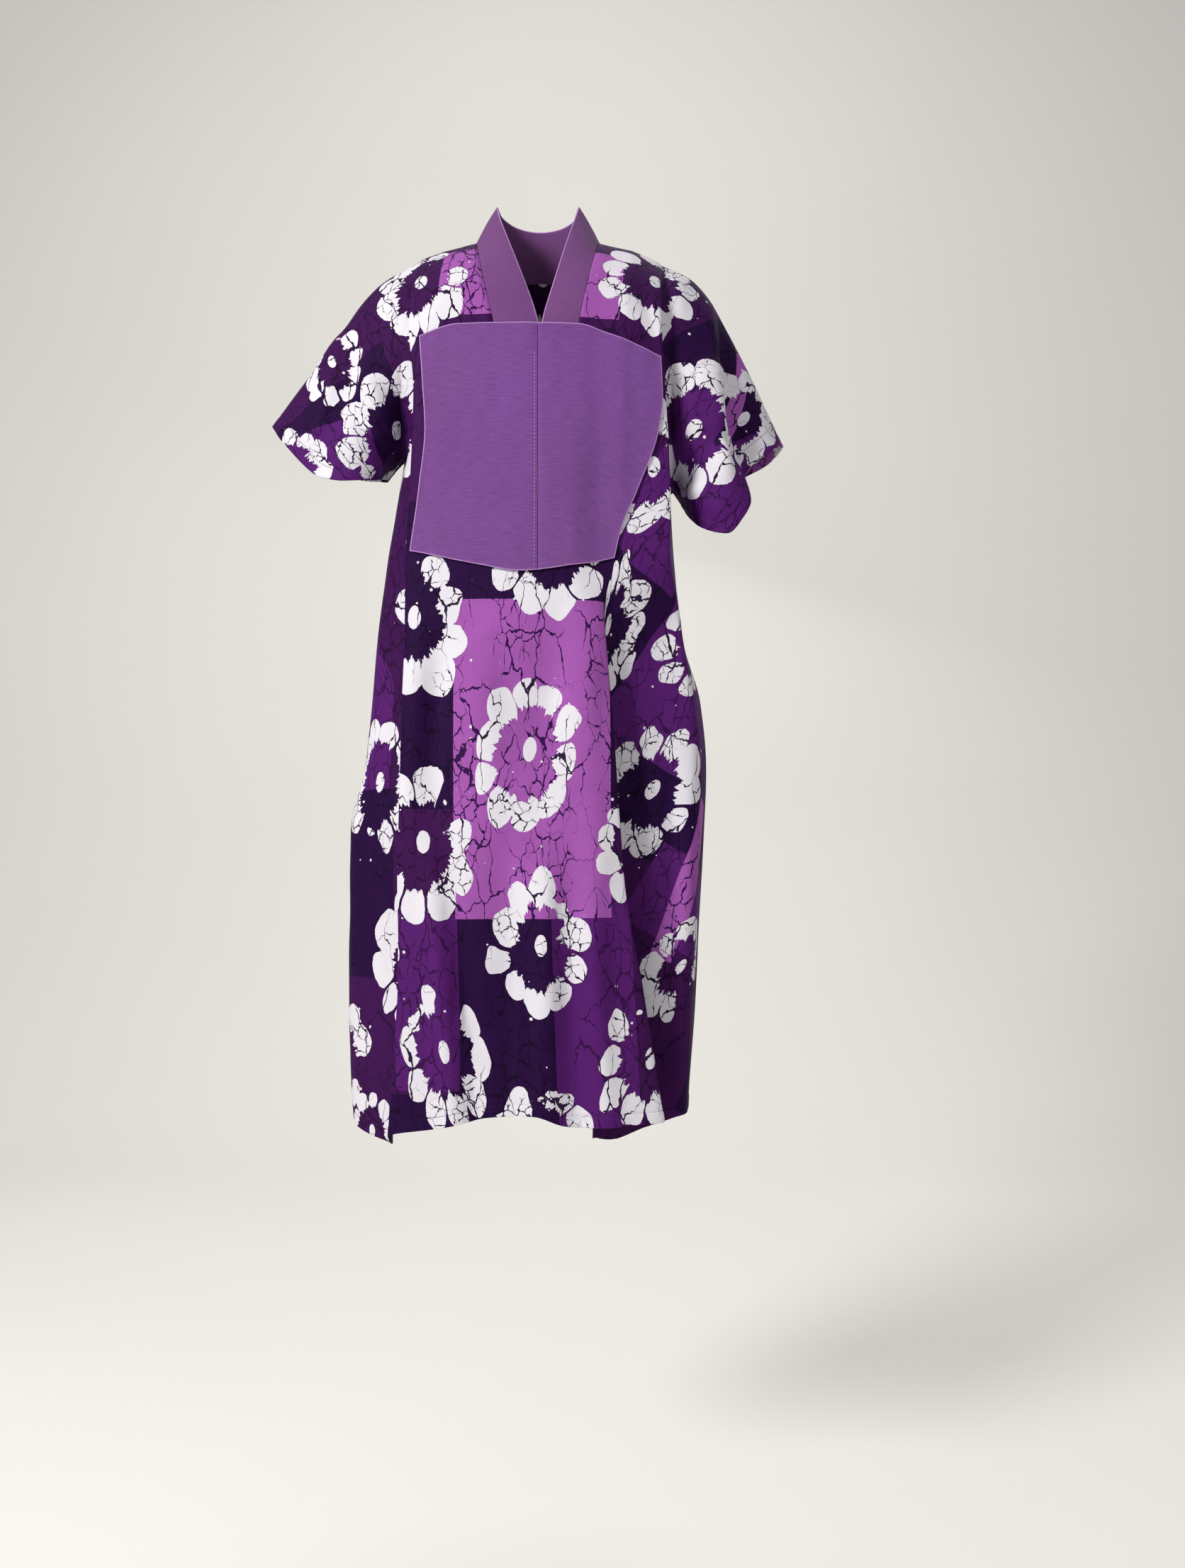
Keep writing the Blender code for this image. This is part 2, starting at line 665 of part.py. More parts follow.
def sheet_object(name, points, wall, look, collection, flip):
    """A cloth piece: quads over the grid of points, given its wall by Solidify."""
    bm = bmesh.new()
    verts = {key: bm.verts.new(place) for key, place in points.items()}
    for r, c in points:
        corners = [(r, c), (r + 1, c), (r + 1, c + 1), (r, c + 1)]
        if all(corner in verts for corner in corners):
            bm.faces.new([verts[corner] for corner in (corners[::-1] if flip else corners)])
    mesh = bpy.data.meshes.new(name)
    bm.to_mesh(mesh)
    bm.free()
    mesh.shade_smooth()
    piece = bpy.data.objects.new(name, mesh)
    piece.data.materials.append(look)
    collection.objects.link(piece)
    solid = piece.modifiers.new("wall", "SOLIDIFY")
    solid.thickness = wall
    solid.offset = 0
    return piece


# ---------------------------------------------------------------- collar
def collar_edges():
    """Outer and top edges of the collar, from the left front end round the back to the right end."""
    left_outer, left_inner = [], []
    right_outer, right_inner = [], []
    for row in reversed(UPPER_ROWS[:FRONT_NECK_ROW + 1]):
        for hand, outer, inner in ((-1, left_outer, left_inner), (1, right_outer, right_inner)):
            station = STATION["neck_left"] if hand < 0 else STATION["neck_right"]
            base = body_point(-1, station, row)
            x, y, z = by_height(COLLAR_TOP[::-1], base[2])
            shift = COLLAR_CENTRE_X * (1 - ease((z - COLLAR_TOP[1][3]) / COLLAR_RISE))
            outer.append(base)
            inner.append(np.array([hand * (x + COLLAR_HALF_GAP) + shift, y, z]))
    back_outer, back_inner = [], []
    places = []
    for row in UPPER_ROWS[1:BACK_NECK_ROW + 1]:
        places.append((STATION["neck_left"], row))
    stations = [s for s in spread(BACK_COLUMNS) if STATION["neck_left"] < s < STATION["neck_right"]]
    places += [(s, UPPER_ROWS[BACK_NECK_ROW]) for s in stations]
    places += [(STATION["neck_right"], row) for row in reversed(UPPER_ROWS[1:BACK_NECK_ROW + 1])]
    for station, row in places:
        base = body_point(1, station, row)
        turn = math.atan2(base[1], base[0])
        side_x, side_y, side_z = COLLAR_SHOULDER
        back = math.sin(turn)
        back_outer.append(base)
        back_inner.append(np.array([side_x * math.cos(turn), side_y * (1 - back) + COLLAR_BACK_Y * back,
                                    side_z + (COLLAR_BACK_Z - side_z) * back**2]))
    outer = left_outer + back_outer + right_outer[::-1]
    inner = left_inner + back_inner + right_inner[::-1]
    for end in (0, -1):
        outer[end] = outer[end] + np.array([0, 0, COLLAR_END_GAP])
    return outer, inner


def collar_points():
    outer, inner = collar_edges()
    points = {}
    for i, (base, top) in enumerate(zip(outer, inner)):
        width = np.linalg.norm(top - base)
        start = base + (top - base) / width * COLLAR_PULL
        for j, share in enumerate(COLLAR_ACROSS):
            points[j, i] = start + (top - start) * share
    return points


# ---------------------------------------------------------------- bib
def chest_place(x, z):
    """The station and row of the front that lie at a place seen from the front."""
    station, row = STATION["centre"], 0.9
    for _ in range(12):
        here = body_point(-1, station, row)
        d_station = (body_point(-1, station + 0.002, row)[0] - here[0]) / 0.002
        d_row = (body_point(-1, station, row + 0.002)[2] - here[2]) / 0.002
        station += np.clip((x - here[0]) / d_station, -0.05, 0.05)
        row += np.clip((z - here[2]) / d_row, -0.1, 0.1)
        station = min(max(station, STATION["edge_left"]), STATION["edge_right"])
    return station, row


def lifted(station, row, lift):
    """A point of the front moved out along the panel's own facing."""
    here = body_point(-1, station, row)
    along = body_point(-1, station + 0.004, row) - body_point(-1, station - 0.004, row)
    down = body_point(-1, station, row + 0.006) - body_point(-1, station, row - 0.006)
    facing = np.cross(down, along)
    facing /= np.linalg.norm(facing)
    if facing[1] > 0:
        facing = -facing
    return here + facing * lift


def edge_at(table, share):
    """A place along a bib edge, by share of its length."""
    rows = np.asarray(table, float)
    length = np.concatenate([[0], np.cumsum(np.linalg.norm(np.diff(rows, axis=0), axis=1))])
    return smooth_through(length / length[-1], rows, share)


def bib_place(across, down):
    """Where on the chest a point of the bib lies, patched between its four edges, as (x, z)."""
    top, bottom = edge_at(BIB_TOP, across), edge_at(BIB_BOTTOM, across)
    left, right = edge_at(BIB_LEFT, down), edge_at(BIB_RIGHT, down)
    corners = ((1 - across) * (1 - down) * edge_at(BIB_TOP, 0) + across * (1 - down) * edge_at(BIB_TOP, 1)
               + (1 - across) * down * edge_at(BIB_BOTTOM, 0) + across * down * edge_at(BIB_BOTTOM, 1))
    return (1 - down) * top + down * bottom + (1 - across) * left + across * right - corners


def seam_share(down):
    """The share across the bib at which its centre seam lies."""
    low, high = 0.0, 1.0
    for _ in range(24):
        middle = (low + high) / 2
        if bib_place(middle, down)[0] < BIB_SEAM_X:
            low = middle
        else:
            high = middle
    return low


def bib_points(hand):
    points = {}
    for r in range(BIB_ROWS + 1):
        down = r / BIB_ROWS
        seam = seam_share(down)
        for c in range(BIB_COLUMNS + 1):
            share = c / BIB_COLUMNS
            across = share * seam if hand < 0 else seam + share * (1 - seam)
            station, row = chest_place(*bib_place(across, down))
            points[r, c] = lifted(station, row, BIB_LIFT)
    edge = BIB_COLUMNS if hand < 0 else 0
    for r in range(BIB_ROWS + 1):
        points[r, edge] = points[r, edge] + np.array([hand * SEAM_GAP / 2, 0, 0])
    return points


# ---------------------------------------------------------------- the robe
def main():
    for old in list(bpy.data.objects):
        bpy.data.objects.remove(old)
    robe = bpy.data.collections.new("batik_boubou")
    bpy.context.scene.collection.children.link(robe)
    batik, orchid = material("batik"), material("orchid")
    front = panel_points(-1, FRONT_COLUMNS, FRONT_NECK_ROW)
    back = panel_points(1, BACK_COLUMNS, BACK_NECK_ROW)
    sheet_object("front_panel", front, WALL, batik, robe, flip=False)
    sheet_object("back_panel", back, WALL, batik, robe, flip=True)
    sheet_object("collar_band", collar_points(), WALL, orchid, robe, flip=True)
    sheet_object("bib_right", bib_points(-1), BIB_WALL, orchid, robe, flip=False)
    sheet_object("bib_left", bib_points(1), BIB_WALL, orchid, robe, flip=False)


main()
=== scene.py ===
"""Looks of the short batik boubou: printed cotton front and back, crepe collar band and bib.

Front and back follow the same sizes and folds as the robe's solids, in a finer grid, with creases,
turned hems and stitching. Left and right in the tables are as seen from the front.
"""
import math

import bpy
import numpy as np
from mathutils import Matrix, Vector, noise


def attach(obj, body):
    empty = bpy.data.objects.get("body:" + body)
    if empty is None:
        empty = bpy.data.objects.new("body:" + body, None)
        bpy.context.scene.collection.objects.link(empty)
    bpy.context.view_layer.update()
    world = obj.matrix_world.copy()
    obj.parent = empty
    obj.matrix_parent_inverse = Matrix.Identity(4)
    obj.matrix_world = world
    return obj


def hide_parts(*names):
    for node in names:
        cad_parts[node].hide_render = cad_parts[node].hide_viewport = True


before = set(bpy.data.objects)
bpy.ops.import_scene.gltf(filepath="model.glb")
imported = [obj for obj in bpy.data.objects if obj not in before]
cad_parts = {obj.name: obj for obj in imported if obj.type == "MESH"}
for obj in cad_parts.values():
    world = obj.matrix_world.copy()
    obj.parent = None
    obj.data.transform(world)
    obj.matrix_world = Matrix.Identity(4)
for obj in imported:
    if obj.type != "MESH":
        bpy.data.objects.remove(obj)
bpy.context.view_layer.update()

# ---------------------------------------------------------------- driving sizes
SEAM_GAP = 0.0005       # between the bib's two halves at their seam
BIB_LIFT = 0.0021       # middle of the bib's wall in front of the middle of the front's
ARMHOLE_X = 0.150       # armhole line's top to centre
FRONT_SLOPE = 0.125     # height over which the front falls forward from the shoulder seam
BACK_SLOPE = 0.100
SLOPE_POWER = 1.6       # roundness of both slopes, where 2 is an ellipse
BACK_NECK_RISE = 0.016  # how far the back's middle is drawn up below the neck
NECK_RISE_TOP = 1 / 12  # the rise is full from this row and gone at the next one named
NECK_RISE_END = 0.6
FRONT_BOW = 0.14        # share of its depth that the front loses at the armhole's width
BACK_BOW = 0.20

# Height and depth of the shoulder seam from the neck point to the armhole.
SHOULDER = (
    # out     height
    (0.075,  0.000),
    (0.114, -0.009),
    (0.135, -0.017),
    (0.150, -0.025),
)

# Body rings: reach to each side seam, and depth to front and back.
RINGS = (
    # height   left   right   front   back
    ( 0.000, 0.150, 0.150, 0.112, 0.098),
    (-0.140, 0.153, 0.153, 0.120, 0.106),
    (-0.270, 0.166, 0.160, 0.125, 0.110),
    (-0.390, 0.185, 0.166, 0.126, 0.112),
    (-0.480, 0.197, 0.176, 0.126, 0.114),
    (-0.560, 0.204, 0.199, 0.126, 0.116),
    (-0.640, 0.213, 0.206, 0.127, 0.119),
    (-0.720, 0.230, 0.203, 0.128, 0.122),
    (-0.825, 0.231, 0.197, 0.129, 0.126),
    (-0.930, 0.232, 0.192, 0.130, 0.130),
    (-1.020, 0.229, 0.185, 0.131, 0.134),
    (-1.100, 0.222, 0.179, 0.132, 0.137),
)

# Long folds of the front. At each height: where the fold's edge lies, how far the cloth behind
# it runs back under it, and how deep that cloth lies behind the edge.
LEFT_FOLD = (
    # height   edge   under  behind
    ( 0.000, -0.1440, -0.0030, 0.000),
    (-0.060, -0.1440, -0.0020, 0.004),
    (-0.134, -0.1440,  0.0045, 0.013),
    (-0.221, -0.1385,  0.0080, 0.020),
    (-0.414, -0.1470,  0.0070, 0.018),
    (-0.583, -0.1490,  0.0050, 0.016),
    (-0.727, -0.1535,  0.0040, 0.014),
    (-0.903, -0.1570,  0.0030, 0.013),
    (-1.064, -0.1670,  0.0020, 0.013),
)
RIGHT_UPPER_FOLD = (
    # height   edge   under  behind
    ( 0.000,  0.1440, -0.0030, 0.000),
    (-0.060,  0.1445, -0.0020, 0.004),
    (-0.138,  0.1454,  0.0045, 0.013),
    (-0.264,  0.1518,  0.0080, 0.019),
    (-0.340,  0.1550,  0.0050, 0.016),
    (-0.406,  0.1540, -0.0030, 0.012),
    (-0.480,  0.1560, -0.0110, 0.018),
    (-0.640,  0.1720, -0.0180, 0.030),
    (-0.903,  0.1680, -0.0140, 0.032),
    (-1.100,  0.1640, -0.0100, 0.030),
)
RIGHT_LOWER_FOLD = (
    # height   edge   under  behind
    ( 0.000,  0.0980, -0.0160, 0.000),
    (-0.140,  0.0800, -0.0200, 0.000),
    (-0.414,  0.0760, -0.0200, 0.001),
    (-0.480,  0.0790, -0.0010, 0.010),
    (-0.580,  0.0876,  0.0120, 0.022),
    (-0.783,  0.1029,  0.0330, 0.031),
    (-0.894,  0.1221,  0.0520, 0.035),
    (-1.048,  0.1470,  0.0800, 0.040),
)

HAIRPIN_FULL = 0.025    # the low fold turns back as a full hairpin once it runs this far under
HAIRPIN_FLAT = 0.012    # sideways reach of its turn where it is flat, and where it is full
HAIRPIN_OUT = 0.006
HAIRPIN_BACK = 0.011    # depth of the full turn
HAIRPIN_LEAN = 0.2      # share of the way to the side that a flat turn leans

ROUND_TOP_Z = -0.40     # from here the right fold's upper line turns into the round of the side
ROUND_HEIGHT = 0.10     # within this height
ROUND_EDGE = 0.34       # and its depth falls by these shares, at the edge and behind it
ROUND_BEHIND = 0.20

# The cloth beside a side seam changes from the chest's shape to the skirt's near the underarm.
SKIRT_FROM_ROW = 0.80
SKIRT_ROWS = 0.35
FRONT_SIDE_IN = 0.010   # the front's side point lies this far inside its seam
FRONT_SIDE_DEPTH = 0.50
BACK_SIDE_REACH = 0.95  # the back's, as a share of its seam's reach
BACK_SIDE_DEPTH = 0.58

# Where the back's named points lie at chest height, and how they spread in the skirt.
BACK_PLACES = (
    # name         x
    ("under_left", -0.128),
    ("edge_left", -0.104),
    ("edge_low", 0.086),
    ("under_low", 0.104),
    ("turn_low", 0.109),
    ("edge_right", 0.128),
)
BACK_SIDE_X = 0.128
BACK_SIDE_BOW = 0.10    # share of its depth that the back loses more by that width
SPREAD_TOP_Z = -0.28
SPREAD_HEIGHT = 0.5
SPREAD_SHARE = 0.9

# Soft folds: a ridge stands out from the panel by its height, a trough has a negative height.
SOFT_RISE = 1.6         # full height is reached after one over this share of a fold's length
SLEEVE_RISE = 1.3
SLEEVE_SEAM_EASE = 0.10
FRONT_SOFT = (
    # top_z  low_z   top_x   low_x   width  height
    (-0.180, -0.450,  0.078,  0.077, 0.016, -0.0060),
    (-0.720, -1.100, -0.118, -0.066, 0.020,  0.0090),
    (-0.760, -1.100, -0.084, -0.034, 0.022, -0.0060),
    (-0.560, -1.100,  0.020,  0.030, 0.034,  0.0060),
    (-0.620, -1.100,  0.070,  0.094, 0.022, -0.0060),
)
BACK_SOFT = (
    # top_z  low_z   top_x   low_x   width  height
    (-0.120, -1.120, -0.108, -0.150, 0.026,  0.0150),
    (-0.160, -1.120, -0.070, -0.096, 0.024, -0.0180),
    (-0.200, -1.120, -0.024, -0.036, 0.028,  0.0150),
    (-0.260, -1.120,  0.022,  0.026, 0.026, -0.0150),
    (-0.160, -1.120,  0.066,  0.084, 0.028,  0.0170),
    (-0.120, -1.120,  0.108,  0.136, 0.022, -0.0150),
)

# Hem height round the front, by station, and round the back.
FRONT_HEM = (
    # station height
    (0.00, -1.043),
    (0.08, -1.065),
    (0.12, -1.077),
    (0.15, -1.080),
    (0.19, -1.070),
    (0.30, -1.058),
    (0.38, -1.045),
    (0.49, -1.042),
    (0.60, -1.056),
    (0.68, -1.052),
    (0.73, -1.078),
    (0.78, -1.080),
    (0.82, -1.064),
    (0.86, -1.053),
    (0.92, -1.050),
    (1.00, -1.048),
)
BACK_HEM = (
    # station height
    (0.00, -1.043),
    (0.14, -1.068),
    (0.50, -1.080),
    (0.86, -1.068),
    (1.00, -1.048),
)

# Stations round a panel from the wearer's right side seam (0) to the left one (1).
STATION = {
    "seam_left": 0.0, "side_left": 0.08, "under_left": 0.15, "edge_left": 0.19, "neck_left": 0.38,
    "centre": 0.49, "neck_right": 0.60, "edge_low": 0.68, "under_low": 0.73, "turn_low": 0.755,
    "edge_right": 0.86, "under_right": 0.91, "seam_right": 1.0,
}
UNDERARM_LEFT_Z = -0.262
UNDERARM_RIGHT_Z = -0.300
ARMHOLE_DEPTH = 0.085   # half the armhole's depth, front to back
ARMHOLE_ROUND = 0.65    # power of its round, where 0.5 is an ellipse
UNDERARM_X = 0.166

# Sleeves: the shoulder seam from armhole to cuff, and the cuff's edge from that seam round the
# front or the back to the underarm seam.
SLEEVE_TOP_LEFT = (
    # along    x       y       z
    (0.00, -0.150,  0.000, -0.025),
    (0.18, -0.185,  0.000, -0.044),
    (0.34, -0.210,  0.000, -0.066),
    (0.56, -0.248,  0.000, -0.117),
    (0.80, -0.291,  0.000, -0.174),
    (1.00, -0.326,  0.000, -0.220),
)
SLEEVE_TOP_RIGHT = (
    # along    x       y       z
    (0.00,  0.150,  0.000, -0.025),
    (0.18,  0.181, -0.010, -0.043),
    (0.34,  0.204, -0.016, -0.068),
    (0.56,  0.235, -0.018, -0.122),
    (0.80,  0.266, -0.018, -0.182),
    (1.00,  0.294, -0.016, -0.244),
)
CUFF_LEFT_FRONT = (
    # along    x       y       z
    (0.00, -0.326,  0.000, -0.220),
    (0.08, -0.321, -0.020, -0.228),
    (0.25, -0.298, -0.044, -0.260),
    (0.45, -0.262, -0.060, -0.296),
    (0.65, -0.228, -0.066, -0.306),
    (0.85, -0.194, -0.050, -0.300),
    (1.00, -0.184,  0.000, -0.284),
)
CUFF_LEFT_BACK = (
    # along    x       y       z
    (0.00, -0.326,  0.000, -0.220),
    (0.08, -0.322,  0.020, -0.228),
    (0.25, -0.301,  0.044, -0.240),
    (0.45, -0.269,  0.060, -0.255),
    (0.65, -0.233,  0.066, -0.264),
    (0.85, -0.196,  0.050, -0.272),
    (1.00, -0.184,  0.000, -0.284),
)
CUFF_RIGHT_FRONT = (
    # along    x       y       z
    (0.00,  0.294, -0.016, -0.244),
    (0.14,  0.280, -0.038, -0.262),
    (0.26,  0.254, -0.056, -0.289),
    (0.38,  0.252, -0.076, -0.330),
    (0.50,  0.239, -0.083, -0.357),
    (0.64,  0.221, -0.080, -0.374),
    (0.84,  0.190, -0.058, -0.356),
    (1.00,  0.180,  0.000, -0.325),
)
CUFF_RIGHT_BACK = (
    # along    x       y       z
    (0.00,  0.294, -0.016, -0.244),
    (0.08,  0.300,  0.006, -0.244),
    (0.25,  0.288,  0.040, -0.252),
    (0.45,  0.262,  0.062, -0.264),
    (0.65,  0.228,  0.068, -0.284),
    (0.85,  0.192,  0.050, -0.306),
    (1.00,  0.180,  0.000, -0.325),
)

# Soft folds of the half-sleeves, running out to the cuff; along and round are shares of the
# way from armhole to cuff and from shoulder seam to underarm seam.
SLEEVE_SOFT = (
    # hand side  start  round_start round_cuff width height
    ( 1,  -1,    0.35,  0.08,       0.27,      0.09, -0.0110),
    ( 1,  -1,    0.20,  0.42,       0.62,      0.12,  0.0050),
    (-1,  -1,    0.30,  0.30,       0.42,      0.10, -0.0070),
    ( 1,   1,    0.25,  0.40,       0.45,      0.12, -0.0110),
    (-1,   1,    0.25,  0.34,       0.50,      0.12, -0.0110),
)
SLEEVE_FOLD_WAY = (1.0, 2.0, 0.5)       # they stand out sideways, to front or back, and up

# Neck opening of each panel, by height below the shoulder seam, and the collar's top edge.
FRONT_NECK = (
    # height  left    right
    ( 0.000, -0.075, 0.075),
    (-0.070, -0.062, 0.064),
    (-0.165, -0.045, 0.048),
    (-0.300, -0.046, 0.040),
    (-1.100, -0.050, 0.050),
)
BACK_NECK = (
    # height  left    right
    ( 0.000, -0.075, 0.075),
    (-0.010, -0.068, 0.068),
    (-0.028, -0.052, 0.052),
    (-0.300, -0.046, 0.046),
    (-1.100, -0.056, 0.050),
)
COLLAR_TOP = (
    # from_z    x      y       z        on the left half; the right half mirrors it
    (-0.163, 0.0000, -0.1210, -0.160),
    (-0.143, 0.0000, -0.1200, -0.146),
    (-0.104, 0.0125, -0.1090, -0.102),
    (-0.070, 0.0245, -0.0930, -0.060),
    (-0.035, 0.0375, -0.0660, -0.013),
    (-0.012, 0.0450, -0.0400,  0.018),
    ( 0.000, 0.0500, -0.0160,  0.046),
)
COLLAR_CENTRE_X = 0.0065    # the ends meet this far to the wearer's left of the middle
COLLAR_RISE = 0.190         # and that shift is gone this far above the V's point
COLLAR_HALF_GAP = 0.0004    # half the gap between the two ends
COLLAR_END_GAP = 0.0010     # the ends stop this far above the front's edge
COLLAR_SHOULDER = (0.050, 0.014, 0.052)     # x, y and z of the top edge over the shoulder seam
COLLAR_BACK_Y = 0.056
COLLAR_BACK_Z = 0.046

# Bib: its four edges as seen from the front.
BIB_TOP = (
    # x       z
    (-0.131, -0.156),
    (-0.085, -0.144),
    ( 0.050, -0.145),
    ( 0.081, -0.154),
    ( 0.144, -0.178),
)
BIB_BOTTOM = (
    # x       z
    (-0.141, -0.402),
    (-0.060, -0.420),
    (-0.016, -0.427),
    ( 0.050, -0.419),
    ( 0.091, -0.410),
)
BIB_LEFT = (
    # x       z
    (-0.131, -0.156),
    (-0.127, -0.210),
    (-0.124, -0.262),
    (-0.131, -0.330),
    (-0.141, -0.402),
)
BIB_RIGHT = (
    # x       z
    ( 0.144, -0.178),
    ( 0.1455, -0.225),
    ( 0.141, -0.264),
    ( 0.117, -0.332),
    ( 0.099, -0.375),
    ( 0.091, -0.410),
)
BIB_SEAM_X = 0.0040     # the bib's two halves meet on this line

# Rows from the shoulder (0) to the underarm (1), as shares of that height, and from there down.
UPPER_ROWS = (0.0, 0.014, 0.036, 0.068, 0.110, 0.180, 0.270, 0.370, 0.480, 0.590, 0.720, 0.850,
              0.940, 1.0)
FRONT_NECK_ROW = 9
BACK_NECK_ROW = 4
FRONT_COLUMNS = (
    # from    to    count
    (0.00, 0.12, 3),
    (0.12, 0.22, 7),
    (0.22, 0.38, 3),
    (0.38, 0.60, 6),
    (0.60, 0.66, 2),
    (0.66, 0.76, 9),
    (0.76, 0.83, 2),
    (0.83, 0.94, 7),
    (0.94, 1.00, 2),
)
BACK_COLUMNS = (
    # from    to    count
    (0.00, 0.12, 3),
    (0.12, 0.38, 6),
    (0.38, 0.60, 6),
    (0.60, 0.88, 6),
    (0.88, 1.00, 3),
)

# ---------------------------------------------------------------- finer grids and cloth details
SHELL = 0.0020          # thickness where the cloth is doubled in a hem
SINGLE_CLOTH = 0.55     # and the share of that of single cloth
SEAM_SIDE = 0.00002     # a panel's middle keeps this far to its own side of a seam
COLLAR_SEAM = 0.0001    # and the panels and the collar this far from the line where they meet
FRONT_FINER = 4         # grid steps for one column of the solids
BACK_FINER = 3
UPPER_FINER = 5
LOWER_FINE_ROWS = 120
SLEEVE_FINE_COLUMNS = 26
HEM_WIDTH = 0.013
HEM_STEPS = (0.0150, 0.0142, 0.0136, 0.0130, 0.0124, 0.0118, 0.0105, 0.0080, 0.0050, 0.0025, 0.0010)
SKIRT_LENGTH = 0.78     # underarm to hem
SLEEVE_LENGTH = 0.19    # armhole to cuff
HEM_CLEAR = 0.002       # even rows end this share above the hem's steps
CUFF_CLEAR = 0.02       # and even columns this share before the cuff's
STITCH_DIP = 0.0007     # cloth pulled in by a row of stitches
STITCH_DIP_WIDTH = 0.0008
SEAM_DIP = 0.0011       # cloth pulled in along a seam
SEAM_DIP_WIDTH = 0.004
FLAT_ROW_STEP = 9       # grid steps between the rows and columns that are laid flat
FLAT_SLEEVE_STEP = 5
FLAT_BODY_STEP = 4
FLAT_PASSES = 60
FLAT_HOLD = 1e-7        # how weakly each place is held where it began

# The long folds take in more cloth than their form shows: the print beyond them jumps this far.
MORE_IN_FOLD = (
    # from         to           amount   start_z  full_z
    ("edge_left",  "under_left", -0.055, -0.440, -0.560),
    ("edge_low",   "turn_low",    0.060, -0.300, -0.420),
)

# Creases of the front and its sleeves, as seen from the front: a ridge is positive.
FRONT_CREASES = (
    # x0      z0      x1      z1     width   height
    ( 0.118, -0.040,  0.140, -0.230, 0.0070, -0.0035),
    ( 0.152, -0.040,  0.176, -0.130, 0.0090,  0.0040),
    (-0.118, -0.045, -0.136, -0.200, 0.0080, -0.0028),
    (-0.150, -0.050, -0.180, -0.120, 0.0090,  0.0035),
    (-0.150, -0.270, -0.224, -0.160, 0.0100,  0.0090),
    (-0.150, -0.280, -0.246, -0.215, 0.0090, -0.0090),
    (-0.160, -0.292, -0.262, -0.262, 0.0090,  0.0090),
    (-0.200, -0.085, -0.236, -0.230, 0.0120, -0.0080),
    (-0.222, -0.100, -0.272, -0.270, 0.0110,  0.0080),
    ( 0.160, -0.300,  0.205, -0.150, 0.0110,  0.0090),
    ( 0.164, -0.310,  0.226, -0.240, 0.0100, -0.0090),
    ( 0.168, -0.322,  0.230, -0.334, 0.0100,  0.0090),
    ( 0.196, -0.340,  0.236, -0.300, 0.0070, -0.0045),
    ( 0.200, -0.060,  0.232, -0.340, 0.0080,  0.0110),
    ( 0.214, -0.070,  0.246, -0.340, 0.0080, -0.0110),
    (-0.100, -0.440, -0.114, -0.780, 0.0140, -0.0080),
    (-0.134, -0.440, -0.140, -0.860, 0.0110,  0.0080),
    (-0.050, -0.440, -0.064, -0.820, 0.0200,  0.0080),
    (-0.138, -0.660, -0.050, -1.250, 0.0110,  0.0180),
    (-0.114, -0.680, -0.028, -1.250, 0.0100, -0.0130),
    (-0.030, -0.660, -0.026, -1.300, 0.0150, -0.0110),
    ( 0.004, -0.640,  0.018, -1.300, 0.0150,  0.0120),
    ( 0.020, -0.430,  0.008, -0.820, 0.0180, -0.0080),
    ( 0.030, -0.700,  0.076, -1.300, 0.0130, -0.0110),
    ( 0.054, -0.660,  0.112, -1.300, 0.0120,  0.0130),
    ( 0.060, -0.430,  0.076, -0.840, 0.0140,  0.0080),
    ( 0.122, -0.440,  0.136, -0.900, 0.0100,  0.0045),
    ( 0.150, -0.560,  0.166, -1.000, 0.0100, -0.0045),
    ( 0.172, -0.480,  0.186, -0.900, 0.0090,  0.0045),
    (-0.176, -0.420, -0.196, -0.980, 0.0100,  0.0050),
    (-0.192, -0.560, -0.214, -1.000, 0.0080, -0.0050),
)
BACK_CREASES = (
    # x0      z0      x1      z1     width   height
    (-0.110, -0.050, -0.090, -0.300, 0.0110, -0.0040),
    ( 0.110, -0.050,  0.096, -0.280, 0.0100, -0.0040),
    (-0.140, -0.060, -0.190, -0.180, 0.0100,  0.0040),
    ( 0.142, -0.060,  0.186, -0.190, 0.0100,  0.0045),
    (-0.150, -0.240, -0.226, -0.190, 0.0090,  0.0050),
    (-0.160, -0.260, -0.240, -0.236, 0.0080, -0.0045),
    ( 0.156, -0.270,  0.226, -0.200, 0.0090,  0.0050),
    ( 0.166, -0.292,  0.236, -0.250, 0.0080, -0.0045),
    (-0.036, -0.030,  0.030, -0.036, 0.0100, -0.0025),
    (-0.050, -0.070,  0.046, -0.066, 0.0120,  0.0030),
    (-0.130, -0.330, -0.176, -0.980, 0.0125,  0.0080),
    (-0.050, -0.380, -0.066, -1.240, 0.0150,  0.0090),
    ( 0.004, -0.480,  0.000, -1.240, 0.0125, -0.0080),
    ( 0.050, -0.340,  0.060, -1.240, 0.0150,  0.0080),
    ( 0.110, -0.420,  0.130, -1.020, 0.0112, -0.0080),
    ( 0.150, -0.380,  0.176, -0.980, 0.0125,  0.0090),
)
GENTLE_SIDE = 1.5       # how much wider a crease is on the wearer's right
CREASE_SWAY = 0.006     # how far a crease's line sways
SWAY_TURN = 5.0         # angle that the sway's wave turns through along a crease
SWAY_START = 40         # and the angle it starts from, for each metre of the first point's x
CREASE_UNEVEN = 0.25    # half the share of a crease's height that comes and goes in waves
UNEVEN_TURN = 9.0
UNEVEN_START = 60       # by the first point's z
CREASE_RISE = 0.35      # shares of its length over which a crease rises and fades
CREASE_FADE = 0.30
CREASE_CLEAR = 0.02     # distance from a seam over which creases reach their full height
TURNED_AWAY = 0.05      # they end where the cloth turns this far from facing front or back,
TURNED_RANGE = 0.4      # and have their full height where it faces there by this much more
